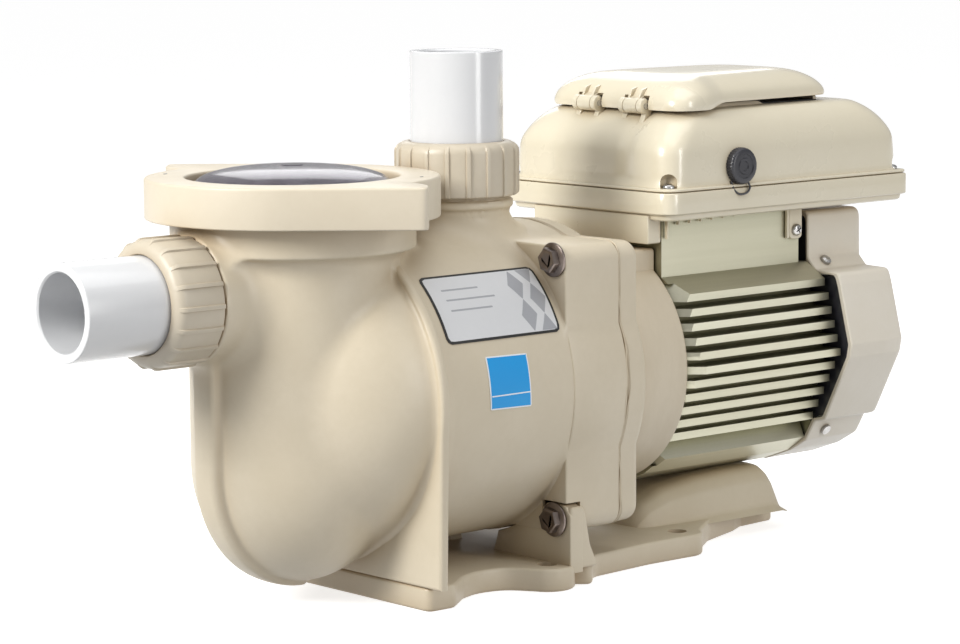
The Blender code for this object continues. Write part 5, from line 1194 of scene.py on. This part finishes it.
def stage():
    mesh = bpy.data.meshes.new("floor")
    size = 30.0
    corners = [(-size, -size, 0), (size, -size, 0), (size, size, 0), (-size, size, 0)]
    mesh.from_pydata(corners, [], [(0, 1, 2, 3)])
    floor = linked("floor", mesh)
    made, _, shader = new_material("floor_paper")
    shader.inputs["Base Color"].default_value = (0.70, 0.70, 0.70, 1)
    shader.inputs["Roughness"].default_value = 0.9
    shader.inputs["Emission Color"].default_value = (1, 1, 1, 1)
    shader.inputs["Emission Strength"].default_value = 0.70
    mesh.materials.append(made)
    floor.visible_diffuse = False


def camera():
    scene = bpy.context.scene
    lens = bpy.data.cameras.new("camera")
    lens.sensor_width, lens.lens = 36.0, LENS_LENGTH
    lens.clip_start, lens.clip_end = 0.1, 100
    view = bpy.data.objects.new("camera", lens)
    scene.collection.objects.link(view)
    yaw, pitch, roll = (math.radians(turn) for turn in CAMERA_TURN)
    ahead = Vector((math.cos(yaw) * math.cos(pitch), math.sin(yaw) * math.cos(pitch), -math.sin(pitch)))
    right = ahead.cross(Vector((0, 0, 1))).normalized()
    up = right.cross(ahead)
    right, up = right * math.cos(roll) + up * math.sin(roll), up * math.cos(roll) - right * math.sin(roll)
    turn = Matrix((right, up, -ahead)).transposed().to_4x4()
    view.matrix_world = Matrix.Translation(CAMERA_PLACE) @ turn
    scene.camera = view


def light(name, position, target, size, energy, colour=(1, 1, 1), size_y=None):
    lamp = bpy.data.lights.new(name, "AREA")
    lamp.shape, lamp.size, lamp.size_y = "RECTANGLE", size, size_y or size
    lamp.energy, lamp.color = energy, colour
    made = linked(name, lamp)
    way = Vector(target) - Vector(position)
    made.matrix_world = Matrix.Translation(position) @ way.to_track_quat("-Z", "Y").to_matrix().to_4x4()


def lighting():
    world = bpy.data.worlds.new("studio")
    bpy.context.scene.world = world
    world.use_nodes = True
    sky = world.node_tree.nodes["Background"]
    sky.inputs["Color"].default_value = (1.0, 1.0, 1.0, 1)
    sky.inputs["Strength"].default_value = 0.40
    middle = (0.0, 0.0, 0.14)
    light("key", (-1.9, 0.15, 1.25), middle, 0.7, 50, (1.0, 0.985, 0.95), 1.0)
    light("top", (0.1, -0.3, 1.9), middle, 1.6, 12)
    light("front_right", (0.55, -2.1, 0.75), middle, 0.45, 14, (1.0, 0.99, 0.97), 1.3)
    light("rim", (1.2, 1.4, 1.2), middle, 1.0, 6)
    scene = bpy.context.scene
    scene.view_settings.view_transform = "Standard"
    scene.view_settings.look = "None"


camera()
lighting()
stage()
dress_nodes()
housing_shell()
housing_crisp()
clamp_ring()
pot_dome()
union("suction", "X", SUCTION_NUT_X, 1, SUCTION_Z)
union("discharge", "Z", DISCHARGE_NUT_Z, -1, 0)
for bolt, (side_y, side_z) in enumerate(((-1, 1), (1, 1), (-1, -1), (1, -1)), 1):
    hex_bolt(bolt, side_y * BOLT_Y, SHAFT_Z + side_z * BOLT_Z)
labels()
drive_tray()
drive_cover()
drive_lid()
port_cap()
motor_bell()
fan_cover()
screws()
foot()

for made, body, slot in PIECES:
    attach(made, body)
